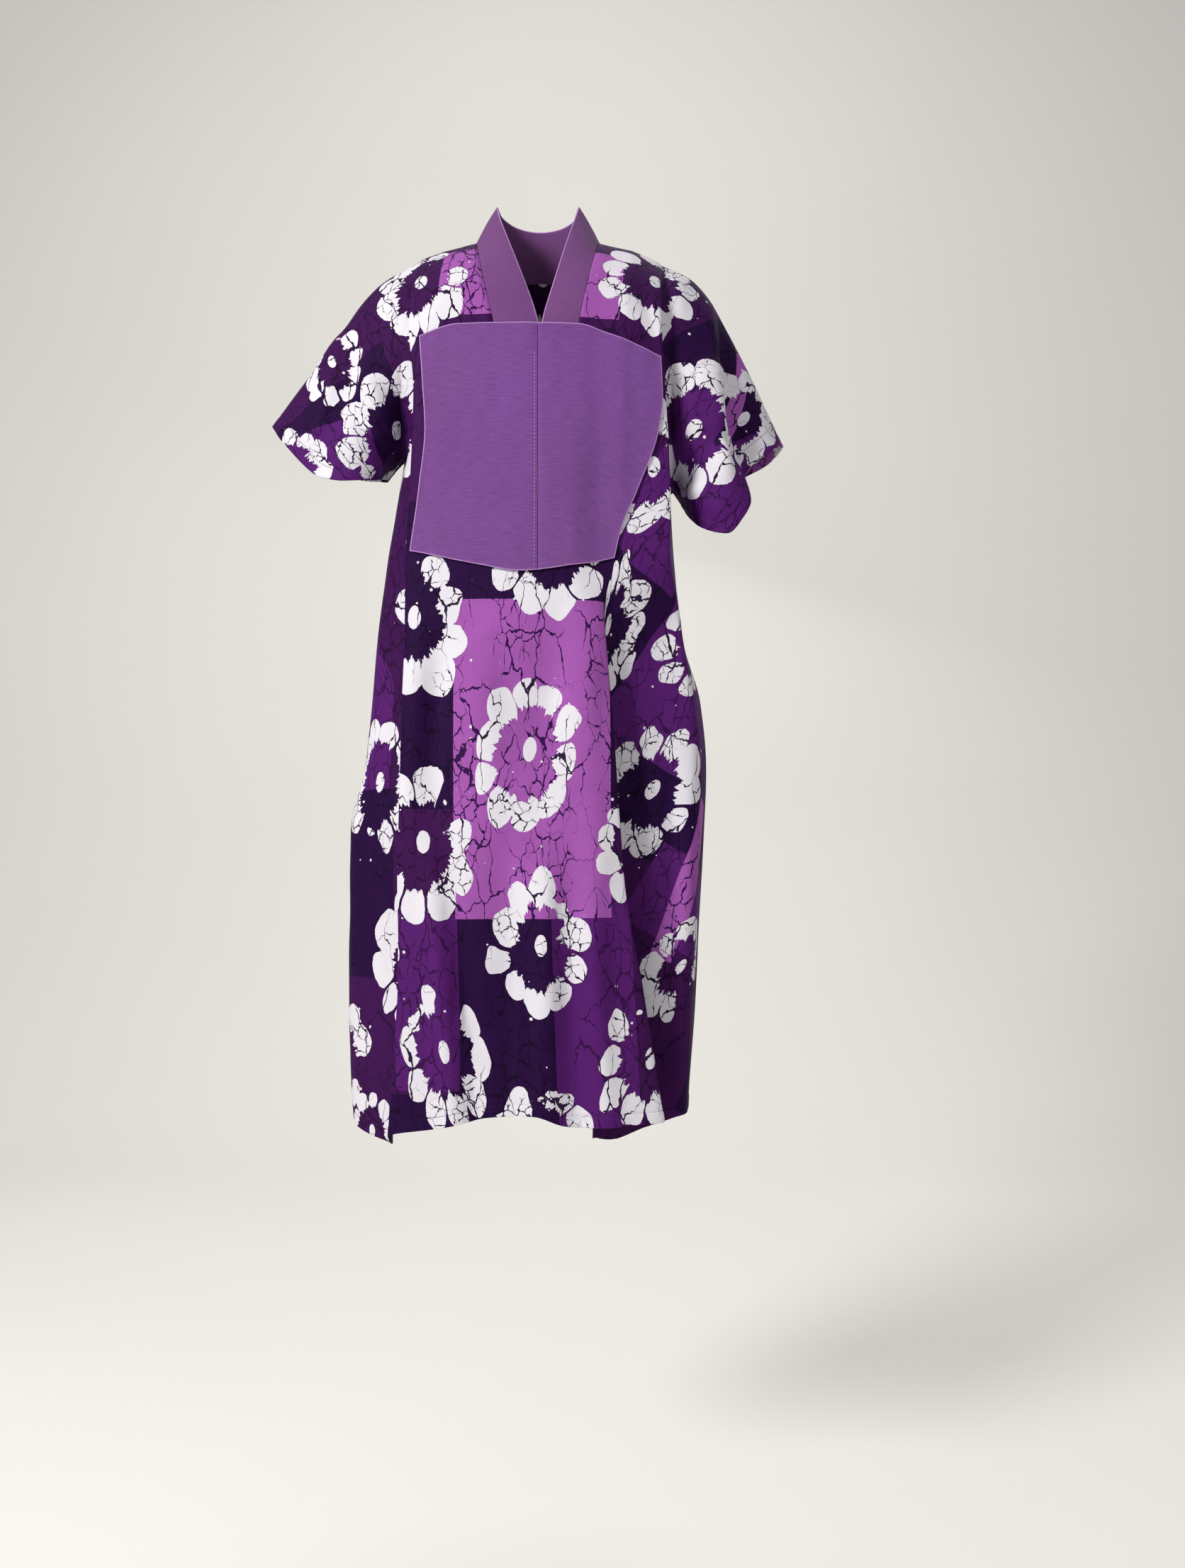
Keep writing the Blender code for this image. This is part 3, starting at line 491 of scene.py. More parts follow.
RIPPLE = 0.0009         # height of the small unevenness all over
RIPPLE_SIZE = 0.035
RIPPLE_LONG = 0.6       # its rate up and down, as a share of that across
PANEL_SEED = 3.0

# ---------------------------------------------------------------- the print
CAMERA = (0.066, -1.600, -0.783)

# Flowers of the front, as the camera sees them on the plane through the robe's middle.
FRONT_FLOWERS = (
    # x       z     shift   wide  tall  turn
    (-0.156, -0.457, 0.000, 1.02, 1.05,   0),
    (-0.015, -0.619, 0.000, 0.98, 1.08,   8),
    (-0.145, -0.733, 0.000, 1.00, 1.02,   0),
    ( 0.136, -0.665, 0.000, 0.95, 0.98,  20),
    (-0.198, -0.659, 0.000, 0.90, 0.95,   0),
    ( 0.000, -0.860, 0.000, 0.92, 0.96,   0),
    (-0.118, -0.990, 0.000, 0.78, 1.02,  -8),
    ( 0.134, -0.998, 0.000, 0.95, 0.98,  10),
    ( 0.172, -0.884, 0.000, 0.62, 0.80,  20),
    ( 0.014, -0.358, 0.000, 1.15, 1.05,   0),
    ( 0.104, -0.470, -0.030, 0.95, 0.98,  0),
    ( 0.080, -0.738, 0.045, 0.90, 0.80,   0),
    ( 0.200, -0.479, 0.000, 0.85, 0.85,  20),
    ( 0.138, -0.271, 0.000, 0.95, 0.95,   0),
    ( 0.140, -0.040, 0.000, 1.00, 0.95,   0),
    (-0.148, -0.044, 0.000, 1.00, 0.95,   0),
    (-0.174, -0.232, 0.000, 1.45, 0.90,   0),
    ( 0.184, -0.227, 0.000, 1.25, 0.92,   0),
    (-0.186, -0.875, 0.040, 0.90, 0.95,   0),
    (-0.246, -0.990, 0.000, 0.95, 0.85,   0),
    ( 0.002, -1.099, 0.000, 0.92, 0.90,  14),
    (-0.205, -1.085, 0.000, 0.62, 0.55,   0),
    (-0.256, -0.140, 0.000, 0.70, 0.62,   0),
    (-0.304, -0.268, 0.000, 0.75, 0.62,   0),
    ( 0.252, -0.209, 0.000, 0.80, 0.75,   0),
)
FLOWER_HALF = (0.064, 0.086)    # across and down
REPEAT = (0.150, 0.190)         # of the back's flowers
BACK_FLOWER_COLUMNS = range(-4, 5)
BACK_FLOWER_ROWS = range(-1, 7)
BACK_SEED = 7
BACK_OFF = 0.012                # how far each lies off its place
BACK_LEAST = 0.92               # and its least and greatest size
BACK_GREATEST = 1.05
BACK_TURN = 8                   # degrees
SEEN_NEAR = 0.006               # grid points this near a place count as seen there
SEEN_SLACK = 1.05

# Dye blocks, later ones over earlier: middle as the camera sees it, half sizes, and the grain's turn.
FRONT_BLOCKS = (
    # colour     x       z      half_w  half_h  turn
    ("medium",  0.180, -0.300,  0.080,  0.210,    0),
    ("black",  -0.235, -0.222,  0.090,  0.060,    0),
    ("medium", -0.275, -0.273,  0.090,  0.050,   20),
    ("black",   0.235, -0.160,  0.068,  0.085,   25),
    ("medium",  0.190, -0.230,  0.026,  0.050,    0),
    ("black",   0.035, -0.500,  0.200,  0.175,    0),
    ("medium",  0.162, -0.332,  0.070,  0.062,   24),
    ("medium",  0.188, -0.535,  0.070,  0.125,   24),
    ("black",   0.160, -0.705,  0.090,  0.050,   18),
    ("medium",  0.190, -0.810,  0.070,  0.050,   18),
    ("black",   0.200, -0.960,  0.040,  0.110,   10),
    ("black",  -0.038, -0.950,  0.064,  0.170,    0),
    ("black",  -0.150, -1.070,  0.090,  0.028,    0),
    ("medium",  0.072, -0.950,  0.046,  0.170,    0),
    ("medium", -0.138, -0.927,  0.037,  0.100,    0),
    ("medium", -0.205, -0.560,  0.036,  0.110,    0),
    ("black",  -0.212, -0.780,  0.044,  0.110,    0),
    ("orchid", -0.008, -0.628,  0.090,  0.181,    0),
    ("orchid", -0.085, -0.030,  0.034,  0.060,    0),
    ("orchid",  0.068, -0.036,  0.030,  0.056,    0),
    ("orchid",  0.249, -0.165,  0.009,  0.090,  -25),
    ("orchid",  0.187, -0.775,  0.014,  0.098,    6),
)
BACK_BLOCKS = (
    # colour     u       v      half_w  half_h  turn
    ("black",  -0.130,  0.300,  0.120,  0.160,    0),
    ("medium",  0.160,  0.180,  0.090,  0.150,    0),
    ("orchid",  0.030,  0.420,  0.092,  0.190,    0),
    ("black",   0.190,  0.640,  0.110,  0.190,    0),
    ("medium", -0.170,  0.700,  0.110,  0.180,    0),
    ("orchid", -0.060,  0.930,  0.092,  0.150,    0),
    ("orchid",  0.330,  0.100,  0.050,  0.120,    0),
    ("orchid", -0.330,  0.100,  0.050,  0.120,    0),
)
DYE = {
    # name:      red    green  blue
    "dark":     (0.038, 0.0045, 0.060),
    "medium":   (0.072, 0.0095, 0.118),
    "black":    (0.0165, 0.0020, 0.036),
    "orchid":   (0.290, 0.078, 0.335),
}
WHITE = (0.640, 0.620, 0.670)
CRACK_ON_WHITE = (0.022, 0.008, 0.034)


# ---------------------------------------------------------------- curves
def smooth_through(knots, values, at):
    """A cubic curve through the values at their knots that never swings past them, at many places.

    values has a row of numbers for each knot, or a row for each knot and place."""
    knots = np.asarray(knots, float)
    values = np.asarray(values, float)
    if values.ndim == 2:
        values = values[:, None, :]
    at = np.clip(at, knots[0], knots[-1])
    step = np.diff(knots)[:, None, None]
    slope = np.diff(values, axis=0) / step
    before, after = slope[:-1], slope[1:]
    weight_before, weight_after = step[:-1] + 2 * step[1:], 2 * step[:-1] + step[1:]
    same_way = before * after > 0
    harmonic = weight_before / np.where(same_way, before, 1) + weight_after / np.where(same_way, after, 1)
    mean = (weight_before + weight_after) / np.where(same_way, harmonic, 1)
    tangent = np.concatenate([slope[:1], np.where(same_way, mean, 0), slope[-1:]])
    i = np.clip(np.searchsorted(knots, at, side="right") - 1, 0, len(knots) - 2)
    place = np.arange(len(at)) if values.shape[1] > 1 else 0
    h = (knots[i + 1] - knots[i])[:, None]
    t = (at - knots[i])[:, None] / h
    return ((2 * t**3 - 3 * t**2 + 1) * values[i, place] + (t**3 - 2 * t**2 + t) * h * tangent[i, place]
            + (3 * t**2 - 2 * t**3) * values[i + 1, place] + (t**3 - t**2) * h * tangent[i + 1, place])


def by_height(table, z):
    """Rows of a table whose first column is a height that falls from row to row, by column."""
    rows = np.asarray(table, float)[::-1]
    return smooth_through(rows[:, 0], rows[:, 1:], z).T


def by_station(table, along):
    rows = np.asarray(table, float)
    return smooth_through(rows[:, 0], rows[:, 1:], along)


def ease(x):
    x = np.clip(x, 0.0, 1.0)
    return x * x * (3 - 2 * x)


def shoulder_height(x):
    return np.interp(np.abs(x), [row[0] for row in SHOULDER], [row[1] for row in SHOULDER])


# ---------------------------------------------------------------- panels, as in the solids
def pair(x, y):
    return np.stack(np.broadcast_arrays(x, y), axis=-1)


def soft_folds(table, x, z):
    total = 0.0
    for top_z, low_z, top_x, low_x, width, height in table:
        along = (top_z - z) / (top_z - low_z)
        middle = top_x + (low_x - top_x) * np.clip(along, 0, 1)
        total = total + height * ease(along * SOFT_RISE) * np.exp(-(((x - middle) / width) ** 2))
    return total


def armhole_points(side, front, tau):
    low_z = UNDERARM_LEFT_Z if side < 0 else UNDERARM_RIGHT_Z
    top_z = SHOULDER[-1][1]
    x = side * (ARMHOLE_X + (UNDERARM_X - ARMHOLE_X) * tau**2)
    y = front * ARMHOLE_DEPTH * np.maximum(1 - (2 * tau - 1) ** 2, 0) ** ARMHOLE_ROUND
    return np.stack([x, y, top_z + (low_z - top_z) * tau], axis=-1)


def slope_share(x, row, low_z, slope_height):
    drop = np.minimum(row, 1.0) * (shoulder_height(x) - low_z)
    share = np.clip(drop / slope_height, 0.0, 1.0)
    return (1 - (1 - share) ** SLOPE_POWER) ** (1 / SLOPE_POWER)


def add_seams(points, side, row, left, right):
    tau = np.minimum(row, 1.0)
    upper = (row < 1)[:, None]
    points["seam_left"] = np.where(upper, armhole_points(-1, side, tau)[:, :2], pair(-left, 0.0))
    points["seam_right"] = np.where(upper, armhole_points(1, side, tau)[:, :2], pair(right, 0.0))


def neck_points(table, z, depth_at):
    left, right = by_height(table, z)
    places = (("neck_left", left), ("neck_right", right), ("centre", (left + right) / 2))
    return {name: pair(x, depth_at(x)) for name, x in places}


def beside_seam(seam, inner, skirt, row):
    """Halfway from a seam to the next named point on the chest, and elsewhere on the skirt."""
    fall = ease((row - SKIRT_FROM_ROW) / SKIRT_ROWS)[:, None]
    return (1 - fall) * ((seam + inner) / 2) + fall * skirt


def front_features(z, row, low_z):
    left, right, depth, _ = by_height(RINGS, z)

    def on_front(x, behind=0.0):
        full = depth * (1 - FRONT_BOW * (x / ARMHOLE_X) ** 2) + soft_folds(FRONT_SOFT, x, z)
        return (behind - full) * slope_share(x, row, low_z, FRONT_SLOPE)

    points = neck_points(FRONT_NECK, z, on_front)
    for name, under, table, side in (("edge_left", "under_left", LEFT_FOLD, 1),
                                     ("edge_right", "under_right", RIGHT_UPPER_FOLD, -1),
                                     ("edge_low", "under_low", RIGHT_LOWER_FOLD, -1)):
        edge, overlap, behind = by_height(table, z)
        points[name] = pair(edge, on_front(edge))
        points[under] = pair(edge + side * overlap, on_front(edge, behind))
    turn = ease((ROUND_TOP_Z - z) / ROUND_HEIGHT)
    points["edge_right"][:, 1] *= 1 - ROUND_EDGE * turn
    points["under_right"][:, 1] *= 1 - ROUND_BEHIND * turn
    under_x, under_y = points["under_low"].T
    hairpin = ease((points["edge_low"][:, 0] - under_x) / HAIRPIN_FULL)
    side_y = points["edge_right"][:, 1]
    lean = (1 - hairpin) * HAIRPIN_LEAN * (side_y - under_y)
    points["turn_low"] = pair(under_x + HAIRPIN_FLAT + (HAIRPIN_OUT - HAIRPIN_FLAT) * hairpin,
                              under_y + lean + hairpin * HAIRPIN_BACK)
    add_seams(points, -1, row, left, right)
    seam, under = points["seam_left"], points["under_left"]
    skirt = pair(seam[:, 0] + FRONT_SIDE_IN, under[:, 1] * FRONT_SIDE_DEPTH)
    points["side_left"] = beside_seam(seam, under, skirt, row)
    return points


def back_features(z, row, low_z):
    left, right, _, depth = by_height(RINGS, z)

    def on_back(x):
        full = depth * (1 - BACK_BOW * (x / ARMHOLE_X) ** 2) + soft_folds(BACK_SOFT, x, z)
        return full * slope_share(x, row, low_z, BACK_SLOPE)

    points = neck_points(BACK_NECK, z, on_back)
    widen = ease((SPREAD_TOP_Z - z) / SPREAD_HEIGHT)
    for name, place in BACK_PLACES:
        reach = left if place < 0 else right
        x = place * (1 + widen * (reach / ARMHOLE_X - 1.0) * SPREAD_SHARE)
        points[name] = pair(x, on_back(x) * (1 - BACK_SIDE_BOW * abs(place) / BACK_SIDE_X))
    add_seams(points, 1, row, left, right)
    for seam_name, inner_name, name in (("seam_left", "under_left", "side_left"),
                                        ("seam_right", "edge_right", "under_right")):
        seam, inner = points[seam_name], points[inner_name]
        skirt = pair(seam[:, 0] * BACK_SIDE_REACH, inner[:, 1] * BACK_SIDE_DEPTH)
        points[name] = beside_seam(seam, inner, skirt, row)
    return points


def ring_points(features, station):
    names = sorted(STATION, key=STATION.get)
    return smooth_through([STATION[name] for name in names], np.stack([features[name] for name in names]),
                          station)


def body_points(side, station, row):
    """A panel's surface at many places. side is -1 for the front and +1 for the back; row is 0 on
    the shoulder seam, 1 at the underarm and 2 at the hem."""
    station, row = (a.astype(float) for a in np.broadcast_arrays(station, row))
    shape = station.shape
    station, row = station.ravel(), row.ravel()
    low_z = UNDERARM_LEFT_Z + (UNDERARM_RIGHT_Z - UNDERARM_LEFT_Z) * station
    features = front_features if side < 0 else back_features
    hem = by_station(FRONT_HEM if side < 0 else BACK_HEM, station)[:, 0]
    first_x = ring_points(features(low_z * np.minimum(row, 1), row, low_z), station)[:, 0]
    top = shoulder_height(first_x)
    z = np.where(row < 1, top + (low_z - top) * row, low_z + (hem - low_z) * (row - 1))
    x, y = ring_points(features(z, row, low_z), station).T
    if side > 0:
        across = 1 - np.minimum(np.abs(x) / ARMHOLE_X, 1.0)
        rise = ease(row / NECK_RISE_TOP) * (1 - ease(row / NECK_RISE_END))
        z = z + np.where(row < 1, BACK_NECK_RISE * across * rise, 0)
    return np.stack([x, y, z], axis=-1).reshape(shape + (3,))


def sleeve_folds(hand, side, along, tau):
    total = np.zeros_like(along)
    for fold_hand, fold_side, start, round_start, round_cuff, width, height in SLEEVE_SOFT:
        if (fold_hand, fold_side) != (hand, side):
            continue
        share = np.maximum((along - start) / (1 - start), 0)
        middle = round_start + (round_cuff - round_start) * share
        total += height * ease(share * SLEEVE_RISE) * np.exp(-(((tau - middle) / width) ** 2))
    return total * ease(tau / SLEEVE_SEAM_EASE) * ease((1 - tau) / SLEEVE_SEAM_EASE)


def sleeve_points(hand, side, along, tau):
    """A half-sleeve's surface from the armhole (0) to the cuff (1), at many places."""
    along, tau = (a.astype(float) for a in np.broadcast_arrays(along, tau))
    shape = along.shape
    along, tau = along.ravel(), tau.ravel()
    top_table = SLEEVE_TOP_LEFT if hand < 0 else SLEEVE_TOP_RIGHT
    cuff_table = {(-1, -1): CUFF_LEFT_FRONT, (-1, 1): CUFF_LEFT_BACK,
                  (1, -1): CUFF_RIGHT_FRONT, (1, 1): CUFF_RIGHT_BACK}[hand, side]
    start = armhole_points(hand, side, tau)
    straight = start + (by_station(cuff_table, tau) - start) * along[:, None]
    first = armhole_points(hand, side, np.zeros(1))
    last = by_station(cuff_table, np.zeros(1))
    top_bend = by_station(top_table, along) - (first + (last - first) * along[:, None])
    out = np.array(SLEEVE_FOLD_WAY) * (hand, side, 1)
    out /= np.linalg.norm(out)
    points = straight + top_bend * (1 - tau)[:, None] + out * sleeve_folds(hand, side, along, tau)[:, None]
    seam_y = by_station(top_table, along)[:, 1] * (1 - tau)
    points[:, 1] = seam_y + side * np.maximum(side * (points[:, 1] - seam_y), SEAM_SIDE)
    return points.reshape(shape + (3,))


# ---------------------------------------------------------------- fine grids of cloth
def spread(columns, finer):
    places = [columns[0][0]]
    for low, high, count in columns:
        places += [low + (high - low) * (i + 1) / (count * finer) for i in range(count * finer)]
    return np.array(places)


def fine_rows(last):
    """Fine rows from the shoulder seam to one of the named rows."""
    steps = np.arange(last * UPPER_FINER + 1) / UPPER_FINER
    return np.interp(steps, np.arange(len(UPPER_ROWS)), UPPER_ROWS)


def hemmed_shares(count, length, clear):
    """Even shares of a length after 0, with the close steps of a turned hem in place of the last."""
    even = np.linspace(0, 1, count + 1)[1:]
    steps = 1 - np.array(HEM_STEPS) / length
    return np.concatenate([even[even < steps[0] - clear], steps, [1.0]])


def facing(points):
    """The outward-or-inward direction square to a grid of points, by its neighbours."""
    def slope(axis):
        wide = np.pad(points, [(1, 1) if k == axis else (0, 0) for k in range(3)], mode="edge")
        here = np.arange(points.shape[axis])
        ahead, behind = (np.take(wide, here + step, axis) for step in (2, 0))
        return np.where(np.isnan(ahead), points, ahead) - np.where(np.isnan(behind), points, behind)

    square = np.cross(slope(0), slope(1))
    return square / np.maximum(np.linalg.norm(square, axis=-1, keepdims=True), 1e-12)


def rotated(x, y, angle):
    return x * np.cos(angle) - y * np.sin(angle), x * np.sin(angle) + y * np.cos(angle)


def arc_lengths(points, axis):
    """Length along a grid from its first row or column, taking gaps as nothing."""
    steps = np.linalg.norm(np.diff(points, axis=axis), axis=-1)
    total = np.cumsum(np.nan_to_num(steps), axis=axis)
    pad = [(1, 0), (0, 0)] if axis == 0 else [(0, 0), (1, 0)]
    return np.pad(total, pad)


def crease_height(table, x, z):
    """How far a table's creases stand out at places seen from the front or back."""
    total = np.zeros_like(x)
    for x0, z0, x1, z1, width, height in table:
        length = math.hypot(x1 - x0, z1 - z0)
        along = ((x - x0) * (x1 - x0) + (z - z0) * (z1 - z0)) / length**2
        across = ((x - x0) * (z1 - z0) - (z - z0) * (x1 - x0)) / length
        across = across + CREASE_SWAY * np.sin(along * SWAY_TURN + x0 * SWAY_START)
        width_here = np.where(across > 0, width * GENTLE_SIDE, width)
        taper = ease(along / CREASE_RISE) * ease((1 - along) / CREASE_FADE)
        uneven = 1 + CREASE_UNEVEN * (np.sin(along * UNEVEN_TURN + z0 * UNEVEN_START) - 1)
        total += height * uneven * taper * np.exp(-((across / width_here) ** 2))
    return total


def ripple(points, size, seed):
    """Small smooth unevenness from -1 to 1, by place."""
    flat = points.reshape(-1, 3)
    made = np.zeros(len(flat))
    for i in np.flatnonzero(~np.isnan(flat[:, 0])):
        x, y, z = flat[i]
        made[i] = noise.noise(Vector((x / size + seed, y / size, z / size * RIPPLE_LONG)))
    return made.reshape(points.shape[:-1])


def mean_cosine(points, r0, r1, c0, c1):
    """The mean cosine of the angle between the two directions of the grid over a patch of it."""
    patch = points[r0:r1 + 1, c0:c1 + 1]
    across = (patch[:, 1:] - patch[:, :-1])[:-1]
    down = (patch[1:] - patch[:-1])[:, :-1]
    size = np.linalg.norm(across, axis=-1) * np.linalg.norm(down, axis=-1)
    return float(np.mean(np.sum(across * down, axis=-1) / np.maximum(size, 1e-9)))


def laid_flat(points, across, down, u, v, row_marks, column_marks):
    """Cloth places (u, v) eased until lengths and angles are nearly those of the cloth itself.

    The easing works on a coarser grid of marked rows and columns, turning each triangle of it as
    a rigid piece, and its result is spread over the fine grid."""
    index = {}
    for i, r in enumerate(row_marks):
        for j, c in enumerate(column_marks):
            if not np.isnan(points[r, c, 0]):
                index[i, j] = len(index)
    corners, shapes = [], []
    for i, j in index:
        if (i + 1, j + 1) not in index or (i + 1, j) not in index or (i, j + 1) not in index:
            continue
        r0, r1, c0, c1 = row_marks[i], row_marks[i + 1], column_marks[j], column_marks[j + 1]
        cosine = mean_cosine(points, r0, r1, c0, c1)
        down_way = np.array([cosine, math.sqrt(1 - cosine**2)])
        top = np.array([across[r0, c1] - across[r0, c0], 0.0])
        bottom = np.array([across[r1, c1] - across[r1, c0], 0.0])
        left = (down[r1, c0] - down[r0, c0]) * down_way
        right = (down[r1, c1] - down[r0, c1]) * down_way
        corners.append((index[i, j], index[i + 1, j], index[i, j + 1]))
        shapes.append((np.zeros(2), left, top))
        corners.append((index[i + 1, j + 1], index[i, j + 1], index[i + 1, j]))
        shapes.append((np.zeros(2), -right, -bottom))
    corners, shapes = np.array(corners), np.array(shapes)
    marked = [(row_marks[i], column_marks[j]) for i, j in index]
    start = np.array([(u[place], v[place]) for place in marked])
    one = corners.ravel()
    other = corners[:, (1, 2, 0)].ravel()
    pull = np.zeros((len(index), len(index)))
    np.add.at(pull, (one, one), 1.0)
    np.add.at(pull, (other, other), 1.0)
    np.add.at(pull, (one, other), -1.0)
    np.add.at(pull, (other, one), -1.0)
    pull += np.eye(len(index)) * FLAT_HOLD
    solved = np.linalg.inv(pull)
    rigid = shapes - shapes[:, (1, 2, 0)]
    places = start.copy()
    for _ in range(FLAT_PASSES):
        edges = places[corners] - places[corners[:, (1, 2, 0)]]
        dot = np.sum(rigid * edges, axis=(1, 2))
        cross = np.sum(rigid[..., 0] * edges[..., 1] - rigid[..., 1] * edges[..., 0], axis=1)
        angle = np.arctan2(cross, dot)[:, None]
        turned = np.stack(rotated(rigid[..., 0], rigid[..., 1], angle), axis=-1).reshape(-1, 2)
        wanted = start * FLAT_HOLD
        np.add.at(wanted, one, turned)
        np.add.at(wanted, other, -turned)
        places = solved @ wanted

    moved = places - start
    by_column = np.full((len(points), len(column_marks), 2), np.nan)
    for j in range(len(column_marks)):
        here = [i for i in range(len(row_marks)) if (i, j) in index]
        known = [row_marks[i] for i in here]
        fine = np.arange(known[0], known[-1] + 1)
        for k in range(2):
            by_column[fine, j, k] = np.interp(fine, known, [moved[index[i, j], k] for i in here])
    result = np.dstack([u, v])
    for r in range(len(points)):
        here = np.flatnonzero(~np.isnan(by_column[r, :, 0]))
        known = np.array(column_marks)[here]
        fine = np.arange(known[0], known[-1] + 1)
        for k in range(2):
            result[r, fine, k] += np.interp(fine, known, by_column[r, here, k])
    return result[..., 0], result[..., 1]


def marks(stops, steps):
    """Numbers from the first stop to the last: every stop, and evenly between them."""
    found = {stops[-1]}
    for first, last, step in zip(stops, stops[1:], steps):
        found.update(range(first, last, step))
    return sorted(found)


def panel_grid(side):
    """The whole fine grid of one panel with its sleeves, its flat cloth places and hem distances."""
    stations = spread(FRONT_COLUMNS, FRONT_FINER) if side < 0 else spread(BACK_COLUMNS, BACK_FINER)
    upper = fine_rows(len(UPPER_ROWS) - 1)
    rows = np.concatenate([upper, 1 + hemmed_shares(LOWER_FINE_ROWS, SKIRT_LENGTH, HEM_CLEAR)])
    body = body_points(side, stations[None, :], rows[:, None])
    body[..., 1] = side * np.maximum(side * body[..., 1], SEAM_SIDE)

    along = hemmed_shares(SLEEVE_FINE_COLUMNS, SLEEVE_LENGTH, CUFF_CLEAR)
    sleeves = len(along)
    top_rows = len(upper)
    points = np.full((len(rows), len(stations) + 2 * sleeves, 3), np.nan)
    points[:, sleeves:-sleeves] = body
    points[:top_rows, :sleeves] = sleeve_points(-1, side, along[None, ::-1], upper[:, None])
    points[:top_rows, -sleeves:] = sleeve_points(1, side, along[None, :], upper[:, None])

    centre, low, high = (sleeves + int(np.argmin(np.abs(stations - STATION[name])))
                         for name in ("centre", "neck_left", "neck_right"))
    across = arc_lengths(points, 1)
    u = across - across[:, centre:centre + 1]
    down = arc_lengths(points, 0)
    hem = np.nanmax(np.where(np.isnan(points[..., 0]), np.nan, down), axis=0)[None, :] - down
    hem[:, :sleeves] = np.inf
    hem[:, -sleeves:] = np.inf
    cuff_left = across - across[:, :1]
    cuff_right = across[:, -1:] - across
    hem[:top_rows] = np.minimum(hem[:top_rows], np.minimum(cuff_left, cuff_right)[:top_rows])
    seam = down.copy()
    underarm = np.minimum(down, down[top_rows - 1] - down)
    seam[:top_rows, :sleeves] = underarm[:top_rows, :sleeves]
    seam[:top_rows, -sleeves:] = underarm[:top_rows, -sleeves:]
    side_left = across - across[:, sleeves:sleeves + 1]
    side_right = across[:, -sleeves - 1:-sleeves] - across
    seam[top_rows:] = np.minimum(seam, np.minimum(side_left, side_right))[top_rows:]

    # The grain lies level across the body at the underarm, and follows the shoulder seam on a sleeve.
    shift = -points[top_rows - 1, :, 2] - down[top_rows - 1]
    shift[:sleeves] = shift[sleeves]
    shift[-sleeves:] = shift[-sleeves - 1]
    v = down + shift
    last = points.shape[1] - 1
    row_marks = marks((0, top_rows - 1, len(rows) - 1), (UPPER_FINER, FLAT_ROW_STEP))
    column_marks = marks((0, sleeves, last - sleeves, last),
                         (FLAT_SLEEVE_STEP, FLAT_BODY_STEP, FLAT_SLEEVE_STEP))
    u, v = laid_flat(points, across, down, u, v, row_marks, column_marks)
    u -= u[top_rows - 1, centre]
    v -= v[top_rows - 1, centre]
    lean = math.atan2(u[-1, centre], v[-1, centre])
    u, v = rotated(u, v, lean)
    v -= points[top_rows - 1, centre, 2]

    if side < 0:
        z = points[:, sleeves:-sleeves, 2]
        for start, end, amount, start_z, full_z in MORE_IN_FOLD:
            way_in = ease((stations - STATION[start]) / (STATION[end] - STATION[start]))
            u[:, sleeves:-sleeves] += amount * way_in * ease((start_z - z) / (start_z - full_z))

    neck_row = (FRONT_NECK_ROW if side < 0 else BACK_NECK_ROW) * UPPER_FINER
    for r in range(neck_row + 1):
        for edge, inner in ((low, low - 1), (high, high + 1)):
            way = points[r, inner] - points[r, edge]
            points[r, edge] += way / np.linalg.norm(way) * COLLAR_SEAM
    way = points[neck_row + 1, low + 1:high] - points[neck_row, low + 1:high]
    points[neck_row, low + 1:high] += way / np.linalg.norm(way, axis=-1, keepdims=True) * COLLAR_SEAM
    points[:neck_row, low + 1:high] = np.nan
    return {"points": points, "u": u, "v": v, "hem": hem, "seam": seam, "side": side, "sleeves": sleeves,
            "top_rows": top_rows}


def finish_panel(grid):
    """Adds creases, the pull of seams and the turned hem to a panel's grid."""
    side, points = grid["side"], grid["points"]
    out = facing(points)
    out *= np.sign(np.nanmean(out[..., 1]) * side)
    x, z = np.nan_to_num(points[..., 0]), np.nan_to_num(points[..., 2])
    table = FRONT_CREASES if side < 0 else BACK_CREASES
    seen = ease((side * out[..., 1] - TURNED_AWAY) / TURNED_RANGE)
    height = crease_height(table, x, z) * seen
    height += RIPPLE * ripple(points, RIPPLE_SIZE, PANEL_SEED * side)
    height *= ease(grid["seam"] / CREASE_CLEAR)
    height -= SEAM_DIP * np.exp(-((grid["seam"] / SEAM_DIP_WIDTH) ** 2))
    height -= STITCH_DIP * np.exp(-(((grid["hem"] - HEM_WIDTH) / STITCH_DIP_WIDTH) ** 2))
    moved = points + out * height[..., None]
    moved[..., 1] = np.where(grid["seam"] < SEAM_DIP_WIDTH, points[..., 1], moved[..., 1])
    grid["points"], grid["out"] = moved, out
    return grid


# ---------------------------------------------------------------- meshes
def new_object(name, data):
    """An object of the scene that holds a mesh, a light or a camera."""
    made = bpy.data.objects.new(name, data)
    bpy.context.scene.collection.objects.link(made)
    return made


def new_mesh(name, verts, faces):
    mesh = bpy.data.meshes.new(name)
    mesh.from_pydata(verts, [], faces)
    mesh.shade_smooth()
    return mesh


